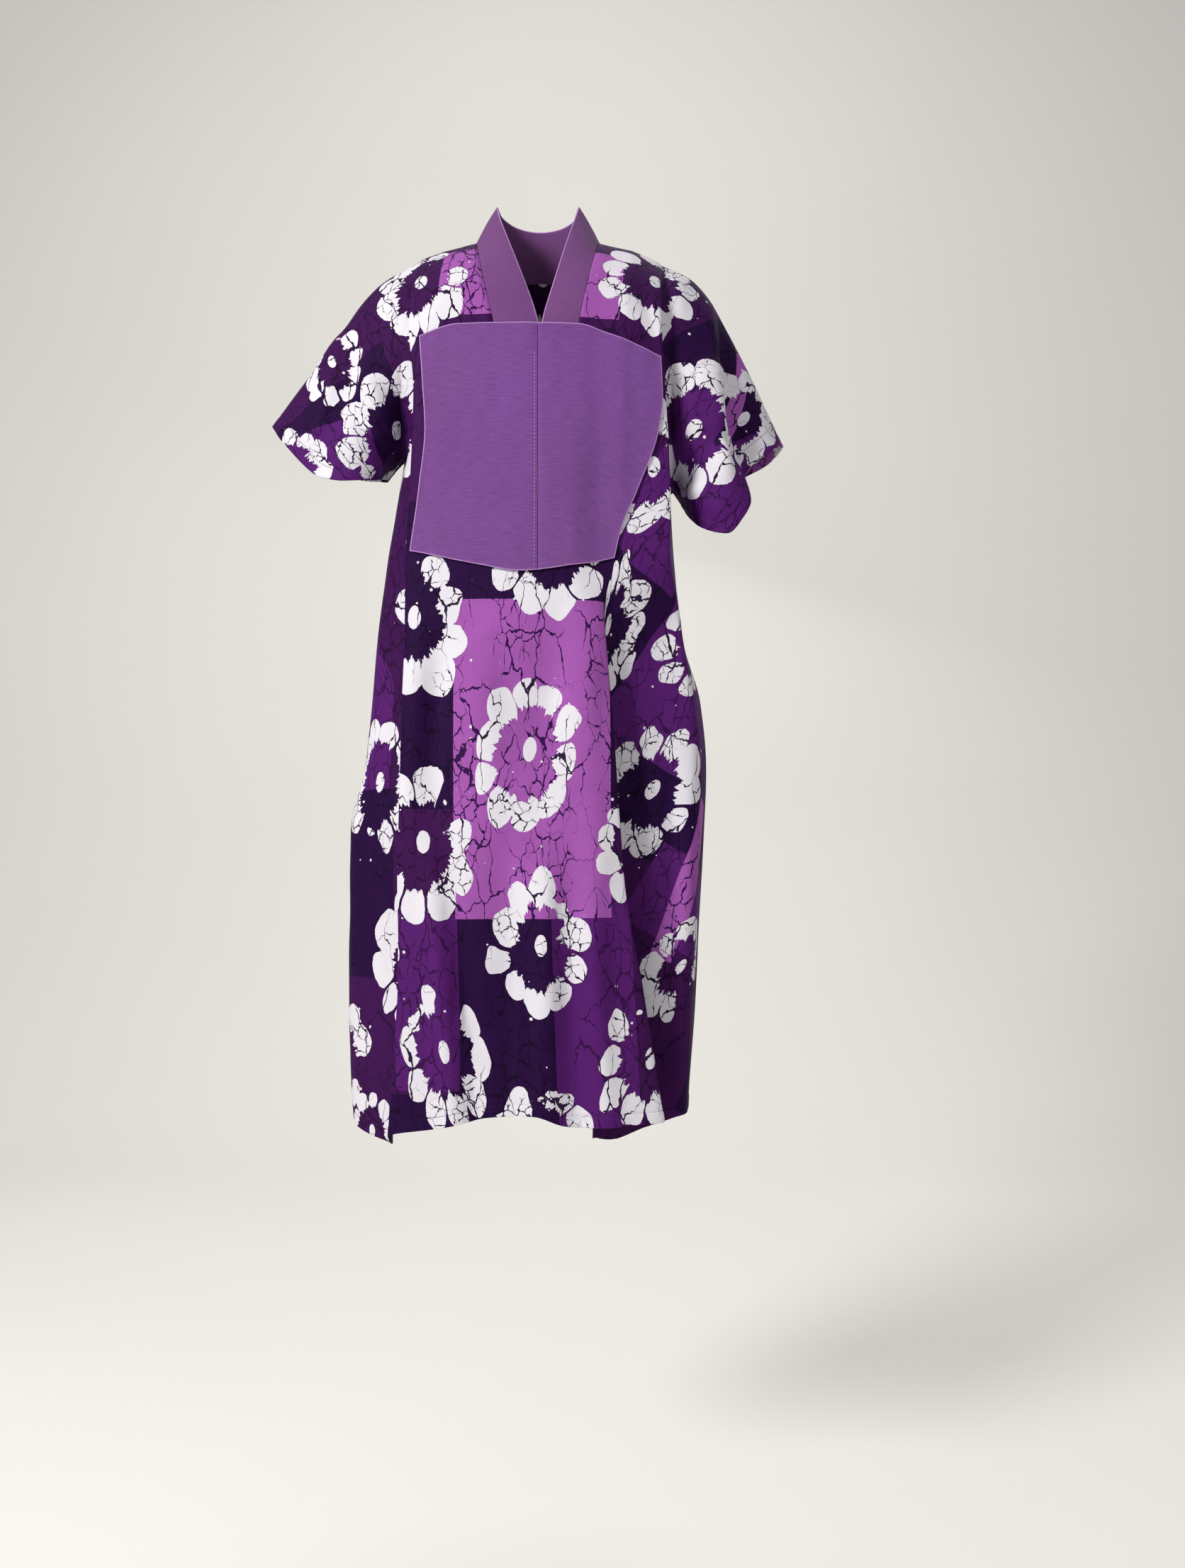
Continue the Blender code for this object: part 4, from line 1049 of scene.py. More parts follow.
def grid_object(name, points, maps, flowers=None, thin=None, flip=False):
    """A mesh of quads over a grid of points, leaving out those with a missing corner.

    maps are UV maps given at each point; flowers add their own to the cloth's map."""
    present = ~np.isnan(points[..., 0])
    index = np.full(points.shape[:2], -1)
    index[present] = np.arange(present.sum())
    corners = np.stack([index[:-1, :-1], index[1:, :-1], index[1:, 1:], index[:-1, 1:]], axis=-1)
    faces = corners[(corners >= 0).all(axis=-1)]
    if flip:
        faces = faces[:, ::-1]
    mesh = new_mesh(name, points[present].tolist(), faces.tolist())
    corner_maps = {label: values[present][faces] for label, values in maps.items()}
    if flowers:
        corner_maps.update(flower_maps(flowers, corner_maps["cloth"]))
    for label, values in corner_maps.items():
        mesh.uv_layers.new(name=label).uv.foreach_set("vector", values.astype(np.float32).ravel())
    piece = new_object(name, mesh)
    if thin is not None:
        group = piece.vertex_groups.new(name="doubled")
        weights = np.round(thin[present], 2)
        for weight in np.unique(weights):
            group.add(np.flatnonzero(weights == weight).tolist(), float(weight), "REPLACE")
    return piece


def add_wall(piece, thickness, group=""):
    solid = piece.modifiers.new("wall", "SOLIDIFY")
    solid.thickness = thickness
    solid.offset = 0
    solid.vertex_group = group


def as_seen(points):
    """Where the camera sees points, on the plane through the robe's middle."""
    reach = -CAMERA[1] / (points[..., 1] - CAMERA[1])
    return np.stack([CAMERA[0] + (points[..., 0] - CAMERA[0]) * reach,
                     CAMERA[2] + (points[..., 2] - CAMERA[2]) * reach], axis=-1)


def cloth_place(grid, seen, x, z):
    """The flat cloth place of the foremost point that the camera sees at (x, z)."""
    gap = np.hypot(seen[..., 0] - x, seen[..., 1] - z)
    gap = np.where(np.isnan(gap), np.inf, gap)
    near = gap < max(SEEN_NEAR, gap.min() * SEEN_SLACK)
    depth = np.where(near, grid["points"][..., 1], np.inf)
    r, c = np.unravel_index(np.argmin(depth), depth.shape)
    return grid["u"][r, c] + x - seen[r, c, 0], grid["v"][r, c] + seen[r, c, 1] - z


def front_chart(grid):
    """Flowers and dye blocks of the front, in flat cloth places."""
    seen = as_seen(grid["points"])
    flowers = []
    for x, z, shift, wide, tall, turn in FRONT_FLOWERS:
        u, v = cloth_place(grid, seen, x, z)
        flowers.append((u + shift, v, wide, tall, turn))
    blocks = [(colour,) + cloth_place(grid, seen, x, z) + (half_w, half_h, turn)
              for colour, x, z, half_w, half_h, turn in FRONT_BLOCKS]
    return flowers, blocks


def back_chart():
    """Flowers of the back in staggered columns, each a little off its place."""
    rng = np.random.default_rng(BACK_SEED)
    flowers = []
    for i in BACK_FLOWER_COLUMNS:
        for j in BACK_FLOWER_ROWS:
            u = i * REPEAT[0] + rng.uniform(-BACK_OFF, BACK_OFF)
            v = (j + 0.5 * (i % 2)) * REPEAT[1] + rng.uniform(-BACK_OFF, BACK_OFF)
            wide = rng.uniform(BACK_LEAST, BACK_GREATEST)
            tall = rng.uniform(BACK_LEAST, BACK_GREATEST)
            flowers.append((u, v, wide, tall, rng.uniform(-BACK_TURN, BACK_TURN)))
    return flowers, BACK_BLOCKS


def flower_maps(flowers, cloth):
    """UV maps of each face's nearest and second nearest flower: the place within it, and its number.

    cloth has the flat place of every corner of every face."""
    table = np.array(flowers)
    angle = np.radians(table[:, 4])
    half = np.array(FLOWER_HALF) * table[:, 2:4]

    def local(place, which):
        du, dv = place[..., 0] - table[which, 0], place[..., 1] - table[which, 1]
        return np.stack(rotated(du, dv, -angle[which]), axis=-1) / half[which]

    middle = cloth.mean(axis=1)
    far = np.stack([np.linalg.norm(local(middle, np.full(len(middle), k)), axis=-1)
                    for k in range(len(table))], axis=1)
    numbers = np.repeat(np.argsort(far, axis=1)[:, None, :2], 4, axis=1)
    return {"flower_near": local(cloth, numbers[..., 0]), "flower_next": local(cloth, numbers[..., 1]),
            "flower_number": numbers}


# ---------------------------------------------------------------- shader helpers
def operation(kind, swapped=False):
    """A method that joins a wire and another value by a Math node."""
    def method(self, other):
        return calc(kind, other, self) if swapped else calc(kind, self, other)
    return method


class Wire:
    """A value in a shader; sums, products and comparisons of wires make Math nodes."""

    def __init__(self, tree, socket):
        self.tree = tree
        self.socket = socket

    __add__ = operation("ADD")
    __sub__ = operation("SUBTRACT")
    __rsub__ = operation("SUBTRACT", swapped=True)
    __mul__ = operation("MULTIPLY")
    __truediv__ = operation("DIVIDE")
    __lt__ = operation("LESS_THAN")
    __gt__ = operation("GREATER_THAN")


def feed(item, slot):
    if isinstance(item, Wire):
        item.tree.links.new(item.socket, slot)
    else:
        slot.default_value = item


def new_node(tree, kind, feeds=(), **settings):
    """A node with its settings made, then its inputs fed by their numbers or names."""
    node = tree.nodes.new("ShaderNode" + kind)
    for name, value in settings.items():
        setattr(node, name, value)
    for key, item in dict(feeds).items():
        feed(item, node.inputs[key])
    return node


def tree_of(items):
    return next(item.tree for item in items if isinstance(item, Wire))


def calc(kind, *items, clamp=False):
    tree = tree_of(items)
    return Wire(tree, new_node(tree, "Math", enumerate(items), operation=kind, use_clamp=clamp).outputs[0])


def clamped(value):
    return calc("ADD", value, 0.0, clamp=True)


def ramp(value, start, slope):
    """0 up to the start, and from there up to 1 by the slope."""
    return clamped((value - start) * slope)


def either(first, second):
    return calc("MAXIMUM", first, second)


def combine(x, y, z=0.0):
    tree = tree_of((x, y, z))
    return Wire(tree, new_node(tree, "CombineXYZ", enumerate((x, y, z))).outputs[0])


def parts_of(vector):
    return [Wire(vector.tree, out) for out in new_node(vector.tree, "SeparateXYZ", {0: vector}).outputs]


def uv(tree, name):
    return Wire(tree, new_node(tree, "UVMap", uv_map=name).outputs[0])


def object_place(tree):
    return Wire(tree, new_node(tree, "TexCoord").outputs["Object"])


def noise_of(vector, scale, detail=2.0, roughness=0.5, colour=False):
    feeds = {"Vector": vector, "Scale": scale, "Detail": detail, "Roughness": roughness}
    return Wire(vector.tree, new_node(vector.tree, "TexNoise", feeds).outputs["Color" if colour else "Fac"])


def patches(vector, scale, detail, start, slope):
    """Noise that is 0 up to the start, and from there rises to 1 by the slope."""
    return ramp(noise_of(vector, scale, detail), start, slope)


def voronoi_of(vector, scale, feature):
    """Distance and colour of 2D cells; the distance to an edge has no colour."""
    node = new_node(vector.tree, "TexVoronoi", {"Vector": vector, "Scale": scale},
                    voronoi_dimensions="2D", feature=feature)
    return Wire(vector.tree, node.outputs["Distance"]), Wire(vector.tree, node.outputs.get("Color"))


def vector_calc(kind, *items):
    tree = tree_of(items)
    node = new_node(tree, "VectorMath", enumerate(items), operation=kind)
    return Wire(tree, node.outputs["Value" if kind == "LENGTH" else "Vector"])


def blend(kind, share, *colours):
    """Two colours joined by a Mix node; each is a wire or three plain numbers."""
    tree = tree_of((share,) + colours)
    first, second = (item if isinstance(item, Wire) else tuple(item) + (1.0,) for item in colours)
    node = new_node(tree, "Mix", {0: share, 6: first, 7: second}, data_type="RGBA", blend_type=kind)
    return Wire(tree, node.outputs[2])


def mixed(share, first, second):
    """first where share is 0 and second where it is 1."""
    return blend("MIX", share, first, second)


def scaled(colour, amount):
    """A colour made lighter or darker by a wire."""
    return blend("MULTIPLY", 1.0, colour, combine(amount, amount, amount))


def bump(height, distance, strength, under=None):
    feeds = {"Height": height, "Distance": distance, "Strength": strength}
    if under is not None:
        feeds["Normal"] = under
    return Wire(height.tree, new_node(height.tree, "Bump", feeds).outputs[0])


SPECULAR = 0.06


def new_material(name, roughness, sheen=0.0):
    made = bpy.data.materials.new(name)
    made.use_nodes = True
    shader = made.node_tree.nodes["Principled BSDF"]
    for key, value in (("Roughness", roughness), ("Specular IOR Level", SPECULAR), ("Sheen Weight", sheen)):
        shader.inputs[key].default_value = value
    return made, made.node_tree, shader


# ---------------------------------------------------------------- the batik print
PETALS = 10
FLOWER_SWELL = 0.26     # how much a flower's outline swells and shrinks
FLOWER_TWIST = 0.07     # and how much its petals crowd together, in turns
RING_MIDDLE = 0.70      # of the way from a flower's centre to its outer edge
CRACKED_INSIDE = 0.75   # cracks are many within this share of it
PETAL_SIZES = (
    # measure      least  more, at most
    ("middle",      0.700, 0.10),
    ("half_length", 0.190, 0.12),
    ("half_width",  0.192, 0.12),
)
PETAL_TAPER = 0.26      # how fast a petal widens outward, from this share of its width
PETAL_TAPER_FROM = 0.92
MISSING_PETALS = 0.11   # chance of a petal that isn't there
DRIP_RAMP = (0.25, 1.6)     # fine drips grow from this noise on, by this slope
DRIPS = 0.95            # reach of the fine drips inside a petal, of the wide ones, and the mean
WIDE_DRIPS = 0.9
DRIP_MEAN = 0.50
LEAST_DRIP = 0.40
EDGE_ROUGH = 0.30
BAND_ROUGH = 0.06       # of the thin bands that join petals here and there
BAND_FROM = 0.54        # they widen from this noise on, by this slope,
BAND_SLOPE = 6.0
BAND_SHOWN = 0.02       # and show from this much more on
BAND_HALF_WIDTH = (0.02, 0.22)      # least, and more by the drips' noise
PIP_PLACE = (0.05, -0.04)
PIP_HALF = (0.118, 0.150)
PIP_ROUGH = 0.5
SPOT_SCALE = 62.0
SPOT_CHANCE = 0.12
SPOTS_FROM = 0.22       # between these shares of a flower's reach
SPOTS_TO = 1.25

# Noise within a flower: scale in flowers, detail and roughness.
SWELL_NOISE = (1.7, 1.0)
TWIST_NOISE = (1.9, 1.0)
DRIP_NOISE = (8.0, 2.5, 0.65)
WIDE_DRIP_NOISE = (2.6, 1.0)
BAND_NOISE = (1.6, 1.0)
TWIST_AWAY = (9.0, 4.0, 2.0)        # the twist is taken this far from the swell
NUMBER_AWAY = 3.7                   # and each flower's this far from the last one's
WIDE_DRIP_AWAY = (1.0, 2.0)         # as its wide drips are, and its bands
BAND_AWAY = (2.3, 1.1)
NUMBER_TURN = 0.37                  # each flower's petals start this much further round

# Noise over the cloth: scale to the metre, detail and roughness.
WAX_EDGE_NOISE = (150.0, 3.0, 0.65)
MOTTLE_NOISE = (14.0, 4.0, 0.6)
SPECKLE_NOISE = (420.0, 2.0, 0.6)
BLEED_NOISE = (260.0, 2.0)
PAPER_NOISE = (22.0, 3.0)
CREASED_NOISE = (55.0, 4.0, 0.62)

# Patches: scale to the metre, detail, the noise at which a patch starts, and its slope from there.
MANY_CRACKS = (9.0, 2.0, 0.50, 9.0)
FEW_CRACKS = (6.0, 1.0, 0.38, 4.0)
STRANDS = (11.0, 2.0, 0.46, 7.0)
CREPE_TONE = (5.0, 2.0, 0.35, 2.2)


def apart(place, number, step):
    """A place moved on by a step for each number, so that each flower has its own noise."""
    return vector_calc("ADD", place, combine(number * step[0], number * step[1]))


def petal_group():
    """A node group: how white one flower is at a place within it."""
    tree = bpy.data.node_groups.new("batik_flower", "ShaderNodeTree")
    for way, name, kind in (("INPUT", "Place", "Vector"), ("INPUT", "Cloth", "Vector"),
                            ("INPUT", "Number", "Float"), ("OUTPUT", "White", "Float"),
                            ("OUTPUT", "Inside", "Float")):
        tree.interface.new_socket(name, in_out=way, socket_type="NodeSocket" + kind)
    source = tree.nodes.new("NodeGroupInput")
    place, cloth, number = (Wire(tree, out) for out in source.outputs[:3])
    number = calc("ROUND", number)
    x, y, _ = parts_of(place)
    reach = vector_calc("LENGTH", place)
    shifted = combine(x, y, number * NUMBER_AWAY)
    swell = noise_of(shifted, *SWELL_NOISE) - 0.5
    twist = noise_of(vector_calc("ADD", shifted, TWIST_AWAY), *TWIST_NOISE) - 0.5
    reach_here = reach * (swell * FLOWER_SWELL + 1.0)
    turn = calc("ARCTAN2", y, x) / (2 * math.pi)
    steps = (turn + twist * FLOWER_TWIST) * float(PETALS) + number * NUMBER_TURN
    petal_number = calc("ROUND", calc("FLOORED_MODULO", calc("FLOOR", steps), float(PETALS)))
    offset = calc("FRACT", steps) - 0.5
    dice = new_node(tree, "TexWhiteNoise", {"Vector": combine(petal_number, number)}, noise_dimensions="2D")
    chances = parts_of(Wire(tree, dice.outputs["Color"]))
    middle, half_length, half_width = (chance * more + least
                                       for chance, (_, least, more) in zip(chances, PETAL_SIZES))
    outward = (reach_here - middle) / half_length
    taper = clamped(outward * PETAL_TAPER + PETAL_TAPER_FROM)
    sideways = offset * reach_here * (2 * math.pi / PETALS) / (half_width * taper)
    # Outside, a petal is round; inside, wax drips end it in ragged fingers.
    direction = vector_calc("NORMALIZE", place)
    fingers = noise_of(direction, *DRIP_NOISE)
    wide_fingers = noise_of(apart(direction, number, WIDE_DRIP_AWAY), *WIDE_DRIP_NOISE)
    inner = outward < 0.0
    depth = ramp(fingers, *DRIP_RAMP) * DRIPS + (wide_fingers - 0.5) * WIDE_DRIPS + DRIP_MEAN
    outward = outward / (inner * (either(depth, LEAST_DRIP) - 1.0) + 1.0)
    rough = noise_of(cloth, *WAX_EDGE_NOISE) - 0.5
    squared = outward * outward
    edge = sideways * sideways + squared * (inner * (squared - 1.0) + 1.0) + rough * EDGE_ROUGH
    petal = (edge < 1.0) * (chances[0] > MISSING_PETALS)
    gate = noise_of(apart(direction, number, BAND_AWAY), *BAND_NOISE) - BAND_FROM
    band = calc("ABSOLUTE", reach_here - RING_MIDDLE) + rough * BAND_ROUGH
    least, more = BAND_HALF_WIDTH
    joined = (band < clamped(gate * BAND_SLOPE) * (fingers * more + least)) * (gate > BAND_SHOWN)
    pip_x, pip_y = ((way - centre) / half for way, centre, half in zip((x, y), PIP_PLACE, PIP_HALF))
    pip = (pip_x * pip_x + pip_y * pip_y + rough * PIP_ROUGH + swell * PIP_ROUGH) < 1.0
    spot, spot_colour = voronoi_of(cloth, SPOT_SCALE, "F1")
    chance, _, _ = parts_of(spot_colour)
    drops = (spot < chance) * (chance < SPOT_CHANCE) * (reach < SPOTS_TO) * (reach > SPOTS_FROM)
    result = tree.nodes.new("NodeGroupOutput")
    feed(either(either(petal, joined), either(pip, drops)), result.inputs["White"])
    feed(reach_here < CRACKED_INSIDE, result.inputs["Inside"])
    return tree


COTTON_ROUGHNESS = 0.66
MOTTLED = 0.42          # how much lighter and darker the dyes are in patches, and in specks
SPECKLED = 0.16
PAPER_MOTTLED = 0.12
WARM_RAMP = (0.25, 1.2)     # the white turns warm from this speckle on, by this slope
CRACK_BEND = 0.80       # how far cracks stray from straight, in cells
CRACK_BEND_NOISE = (1.3, 3.0, 0.6)  # scale as a share of the cells', detail and roughness
CRACK_WIDTH_NOISE = (0.8, 2.0)
CRACK_WIDTH = (4.5, 1.70)           # a crack's width is its noise times the first, less the second
CRACK_THICKEN = 2.0                 # cracks thicken by this slope toward where they are many
FINE_CRACKS = (74.0, 0.00082)       # cells to the metre, and width of a line
COARSE_CRACKS = (34.0, 0.00105)
DYE_CRACKS = (74.0, 0.00084)
CRACK_SHADE = (0.42, 0.42, 0.42)    # what cracks leave of a dye's light, and of the orchid's
ORCHID_CRACK_SHADE = (0.09, 0.05, 0.16)
BLEED = (0.0012, 0.0012, 0.0)       # unevenness of the dye blocks' edges
WARM_WHITE = (0.66, 0.62, 0.70)
LONG_CRACKS = (1.0, 0.50, 0.0)      # the cloth's places as the long cracks take them, and the strands
CRACK_STRANDS = (1.0, 0.35, 0.0)
INSIDE_CRACKS = 0.42                # how dense cracks are at least within a flower
WEAVE = (9000.0, 9000.0, 0.0)
WEAVE_HEIGHT = 0.3
CREASED_BUMP = (0.0014, 0.55)       # distance and strength
WEAVE_BUMP = (0.00025, 0.35)


def crackle(cloth, cracks, where):
    """Fine cracks of the wax: lines between cells, thinning to nothing where the wire is low."""
    scale, width = cracks
    bend_share, detail, roughness = CRACK_BEND_NOISE
    bend = vector_calc("MULTIPLY", noise_of(cloth, scale * bend_share, detail, roughness, colour=True),
                       (CRACK_BEND / scale, CRACK_BEND / scale, 0.0))
    edge, _ = voronoi_of(vector_calc("ADD", cloth, bend), scale, "DISTANCE_TO_EDGE")
    width_share, detail = CRACK_WIDTH_NOISE
    more, less = CRACK_WIDTH
    uneven = clamped(noise_of(cloth, scale * width_share, detail) * more - less)
    return edge < clamped(where * CRACK_THICKEN) * uneven * (width * scale)


def dyed(tree, cloth, blocks):
    """The colour of the dye blocks, later ones over earlier, and where the orchid ones show."""
    bleed = vector_calc("MULTIPLY", noise_of(cloth, *BLEED_NOISE, colour=True), BLEED)
    soft_cloth = vector_calc("ADD", cloth, bleed)
    colour = DYE["dark"]
    orchid = None
    for dye, u, v, half_w, half_h, turn in blocks:
        feeds = {"Vector": soft_cloth, "Location": (u, v, 0), "Rotation": (0, 0, math.radians(turn)),
                 "Scale": (half_w, half_h, 1)}
        node = new_node(tree, "Mapping", feeds, vector_type="TEXTURE")
        across, down, _ = parts_of(Wire(tree, node.outputs[0]))
        block = calc("COMPARE", across, 0.0, 1.0) * calc("COMPARE", down, 0.0, 1.0)
        colour = mixed(block, colour, DYE[dye])
        if dye == "orchid":
            orchid = block if orchid is None else either(orchid, block)
        elif orchid is not None:
            orchid = orchid * (1.0 - block)
    return colour, orchid


def batik_material(name, blocks, group):
    made, tree, shader = new_material(name, COTTON_ROUGHNESS)
    cloth = uv(tree, "cloth")
    whites, insides = [], []
    for place, number in zip(("flower_near", "flower_next"), parts_of(uv(tree, "flower_number"))):
        node = new_node(tree, "Group", enumerate((uv(tree, place), cloth, number)), node_tree=group)
        whites.append(Wire(tree, node.outputs["White"]))
        insides.append(Wire(tree, node.outputs["Inside"]))
    colour, orchid = dyed(tree, cloth, blocks)
    mottle = noise_of(cloth, *MOTTLE_NOISE)
    speckle = noise_of(cloth, *SPECKLE_NOISE)
    colour = scaled(colour, (mottle - 0.5) * MOTTLED + (speckle - 0.5) * SPECKLED + 1.0)

    many = patches(cloth, *MANY_CRACKS)
    few = patches(cloth, *FEW_CRACKS)
    long_cloth = vector_calc("MULTIPLY", cloth, LONG_CRACKS)
    coarse = crackle(long_cloth, COARSE_CRACKS, few)
    cracks = either(crackle(cloth, FINE_CRACKS, many), coarse)
    strands = patches(vector_calc("MULTIPLY", cloth, CRACK_STRANDS), *STRANDS)
    dense = either(strands, either(*insides) * INSIDE_CRACKS)
    on_dye = either(crackle(long_cloth, DYE_CRACKS, dense), coarse)
    colour = blend("MULTIPLY", on_dye, colour, mixed(orchid, CRACK_SHADE, ORCHID_CRACK_SHADE))

    paper = scaled(mixed(ramp(speckle, *WARM_RAMP), WHITE, WARM_WHITE),
                   (noise_of(cloth, *PAPER_NOISE) - 0.5) * PAPER_MOTTLED + 1.0)
    paper = mixed(cracks, paper, CRACK_ON_WHITE)
    feed(mixed(either(*whites), colour, paper), shader.inputs["Base Color"])

    weave_x, weave_y, _ = parts_of(vector_calc("MULTIPLY", cloth, WEAVE))
    weave = calc("SINE", weave_x) * calc("SINE", weave_y)
    low = bump(noise_of(cloth, *CREASED_NOISE), *CREASED_BUMP)
    feed(bump(weave * WEAVE_HEIGHT + speckle, *WEAVE_BUMP, low), shader.inputs["Normal"])
    return made


CREPE_ROUGHNESS = 0.76
CREPE_SHEEN = 0.03
CREPE_RIDGES = (70.0, 620.0, 0.0)   # to the metre, across and down
CREPE_GRAIN = (900.0, 1500.0, 0.0)
RIDGE_NOISE = (1.0, 3.0, 0.55)
GRAIN_NOISE = (1.0, 2.0)
CREPE_MOTTLE_NOISE = (11.0, 3.0, 0.6)
RAW_EDGE_NOISE = (300.0, 2.0)
CREPE_MOTTLED = 0.24                # how much lighter and darker the crepe is in patches, on its ridges (painted light on their crests and painted shade between them) and by its grain
CREPE_PAINTED_RIDGE_SHADE = 0.95                 # on its ridges and by its grain
CREPE_GRAINED = 0.35
RIDGE_BUMP = (0.0016, 0.80)         # distance and strength
GRAIN_BUMP = (0.0003, 0.35)
CREPE_SHADOW = (0.92, 0.96, 0.76)   # the crepe's second tone, as shares of its first
RAW_EDGE = (0.47, 0.27, 0.56)
RAW_EDGE_WIDTH = 0.0013
RAW_EDGE_FADE = 0.0006
RAW_EDGE_PALE = (0.35, 0.80)        # how pale the edge is at least, and more by its noise


def crepe_material(name, colour, crinkle):
    """Plain crepe with fine crosswise crinkles, painted lighter on their crests and darker between them as
    light and shade, and a paler raw edge.
    """
    made, tree, shader = new_material(name, CREPE_ROUGHNESS, CREPE_SHEEN)
    cloth = uv(tree, "cloth")
    edge_gap, _, _ = parts_of(uv(tree, "edge"))
    ridges = noise_of(vector_calc("MULTIPLY", cloth, CREPE_RIDGES), *RIDGE_NOISE)
    grains = noise_of(vector_calc("MULTIPLY", cloth, CREPE_GRAIN), *GRAIN_NOISE)
    mottle = noise_of(cloth, *CREPE_MOTTLE_NOISE)
    # The ridges' term is painted light and shade: crests lighter and troughs darker, from the same noise as
    # the ridges' bump.
    tone = ((mottle - 0.5) * CREPE_MOTTLED + (ridges - 0.5) * CREPE_PAINTED_RIDGE_SHADE * crinkle
            + (grains - 0.5) * CREPE_GRAINED + 1.0)
    second = [light * share for light, share in zip(colour, CREPE_SHADOW)]
    base = scaled(mixed(patches(cloth, *CREPE_TONE), colour, second), tone)
    near_edge = clamped((RAW_EDGE_WIDTH - edge_gap) / RAW_EDGE_FADE)
    least, more = RAW_EDGE_PALE
    pale = clamped(near_edge * (noise_of(cloth, *RAW_EDGE_NOISE) * more + least))
    feed(mixed(pale, base, RAW_EDGE), shader.inputs["Base Color"])
    distance, strength = RIDGE_BUMP
    low = bump(ridges, distance, strength * crinkle)
    feed(bump(grains, *GRAIN_BUMP, low), shader.inputs["Normal"])
    return made


PLAIN = {
    # name:    roughness  noise to the metre       detail  least  more
    "thread": (0.55,      (2500.0, 2500.0, 1500.0), 1.0,   0.75,  0.50),
    "floor":  (0.90,      (1.2, 1.2, 1.2),          2.0,   0.98,  0.04),
}


def plain_material(name, colour, kind):
    """One colour that noise makes a little lighter and darker."""
    roughness, scale, detail, least, more = PLAIN[kind]
    made, tree, shader = new_material(name, roughness)
    place = vector_calc("MULTIPLY", object_place(tree), scale)
    feed(scaled(colour, noise_of(place, 1.0, detail) * more + least), shader.inputs["Base Color"])
    return made


# ---------------------------------------------------------------- bib, collar and stitches
BIB_FINE_COLUMNS = 56
BIB_FINE_ROWS = 84
BIB_SHELL = 0.0011
BIB_EDGE_ROLL = 0.0006  # how far the bib's edge rolls up, and over which width
BIB_ROLL_WIDTH = 0.004
BIB_SEAM_DIP = 0.0007
BIB_SEAM_DIP_WIDTH = 0.0022
BIB_RIPPLE = (0.0009, 0.028, 11.0)      # height, size and seed
BIB_RIPPLE_MEAN = 0.4
BIB_RIPPLE_FROM = 0.01  # it grows over this distance from the seam
TOPSTITCH_IN = 0.0026   # from the seam to the row of stitches beside it
TOPSTITCH_DIP = 0.0004
TOPSTITCH_WIDTH = 0.0007
SEARCH_START = 0.9      # row where the search for a place on the chest begins
SEARCH_PASSES = 12
SEARCH_STEP = 0.002
SEARCH_MOST = (0.05, 0.1)       # longest move of one pass, in stations and in rows
NORMAL_STEP = (0.004, 0.006)    # neighbours that give the chest's facing, likewise
HALVINGS = 24


def chest_places(x, z):
    """Station and row of the front's points that lie at x and z."""
    station = np.full(len(x), STATION["centre"])
    row = np.full(len(x), SEARCH_START)
    most_station, most_row = SEARCH_MOST
    for _ in range(SEARCH_PASSES):
        here = body_points(-1, station, row)
        d_station = (body_points(-1, station + SEARCH_STEP, row) - here)[:, 0] / SEARCH_STEP
        d_row = (body_points(-1, station, row + SEARCH_STEP) - here)[:, 2] / SEARCH_STEP
        station = station + np.clip((x - here[:, 0]) / d_station, -most_station, most_station)
        row = row + np.clip((z - here[:, 2]) / d_row, -most_row, most_row)
        station = np.clip(station, STATION["edge_left"], STATION["edge_right"])
    return station, row


def lifted(station, row, lift):
    """Places in front of the front's, with its creases."""
    near_station, near_row = NORMAL_STEP
    here = body_points(-1, station, row)
    along = body_points(-1, station + near_station, row) - body_points(-1, station - near_station, row)
    down = body_points(-1, station, row + near_row) - body_points(-1, station, row - near_row)
    out = np.cross(down, along)
    out /= np.linalg.norm(out, axis=-1, keepdims=True)
    out *= -np.sign(out[:, 1:2])
    return here + out * (lift + crease_height(FRONT_CREASES, here[:, 0], here[:, 2]))[:, None]


def edge_at(table, share):
    rows = np.asarray(table, float)
    length = np.concatenate([[0], np.cumsum(np.linalg.norm(np.diff(rows, axis=0), axis=1))])
    return smooth_through(length / length[-1], rows, share)


def bib_places(across, down):
    top, bottom = edge_at(BIB_TOP, across), edge_at(BIB_BOTTOM, across)
    left, right = edge_at(BIB_LEFT, down), edge_at(BIB_RIGHT, down)
    a, d = across[:, None], down[:, None]
    corners = ((1 - a) * (1 - d) * np.array(BIB_TOP[0]) + a * (1 - d) * np.array(BIB_TOP[-1])
               + (1 - a) * d * np.array(BIB_BOTTOM[0]) + a * d * np.array(BIB_BOTTOM[-1]))
    return (1 - d) * top + d * bottom + (1 - a) * left + a * right - corners


def seam_shares(down):
    low, high = np.zeros(len(down)), np.ones(len(down))
    for _ in range(HALVINGS):
        middle = (low + high) / 2
        before = bib_places(middle, down)[:, 0] < BIB_SEAM_X
        low, high = np.where(before, middle, low), np.where(before, high, middle)
    return low


def edge_steps(count):
    """Shares from 0 to 1, closer together near both ends."""
    even = np.linspace(0, 1, count + 1)
    return 0.5 - 0.5 * np.cos(even * math.pi) * (0.35 * np.abs(2 * even - 1) + 0.65)


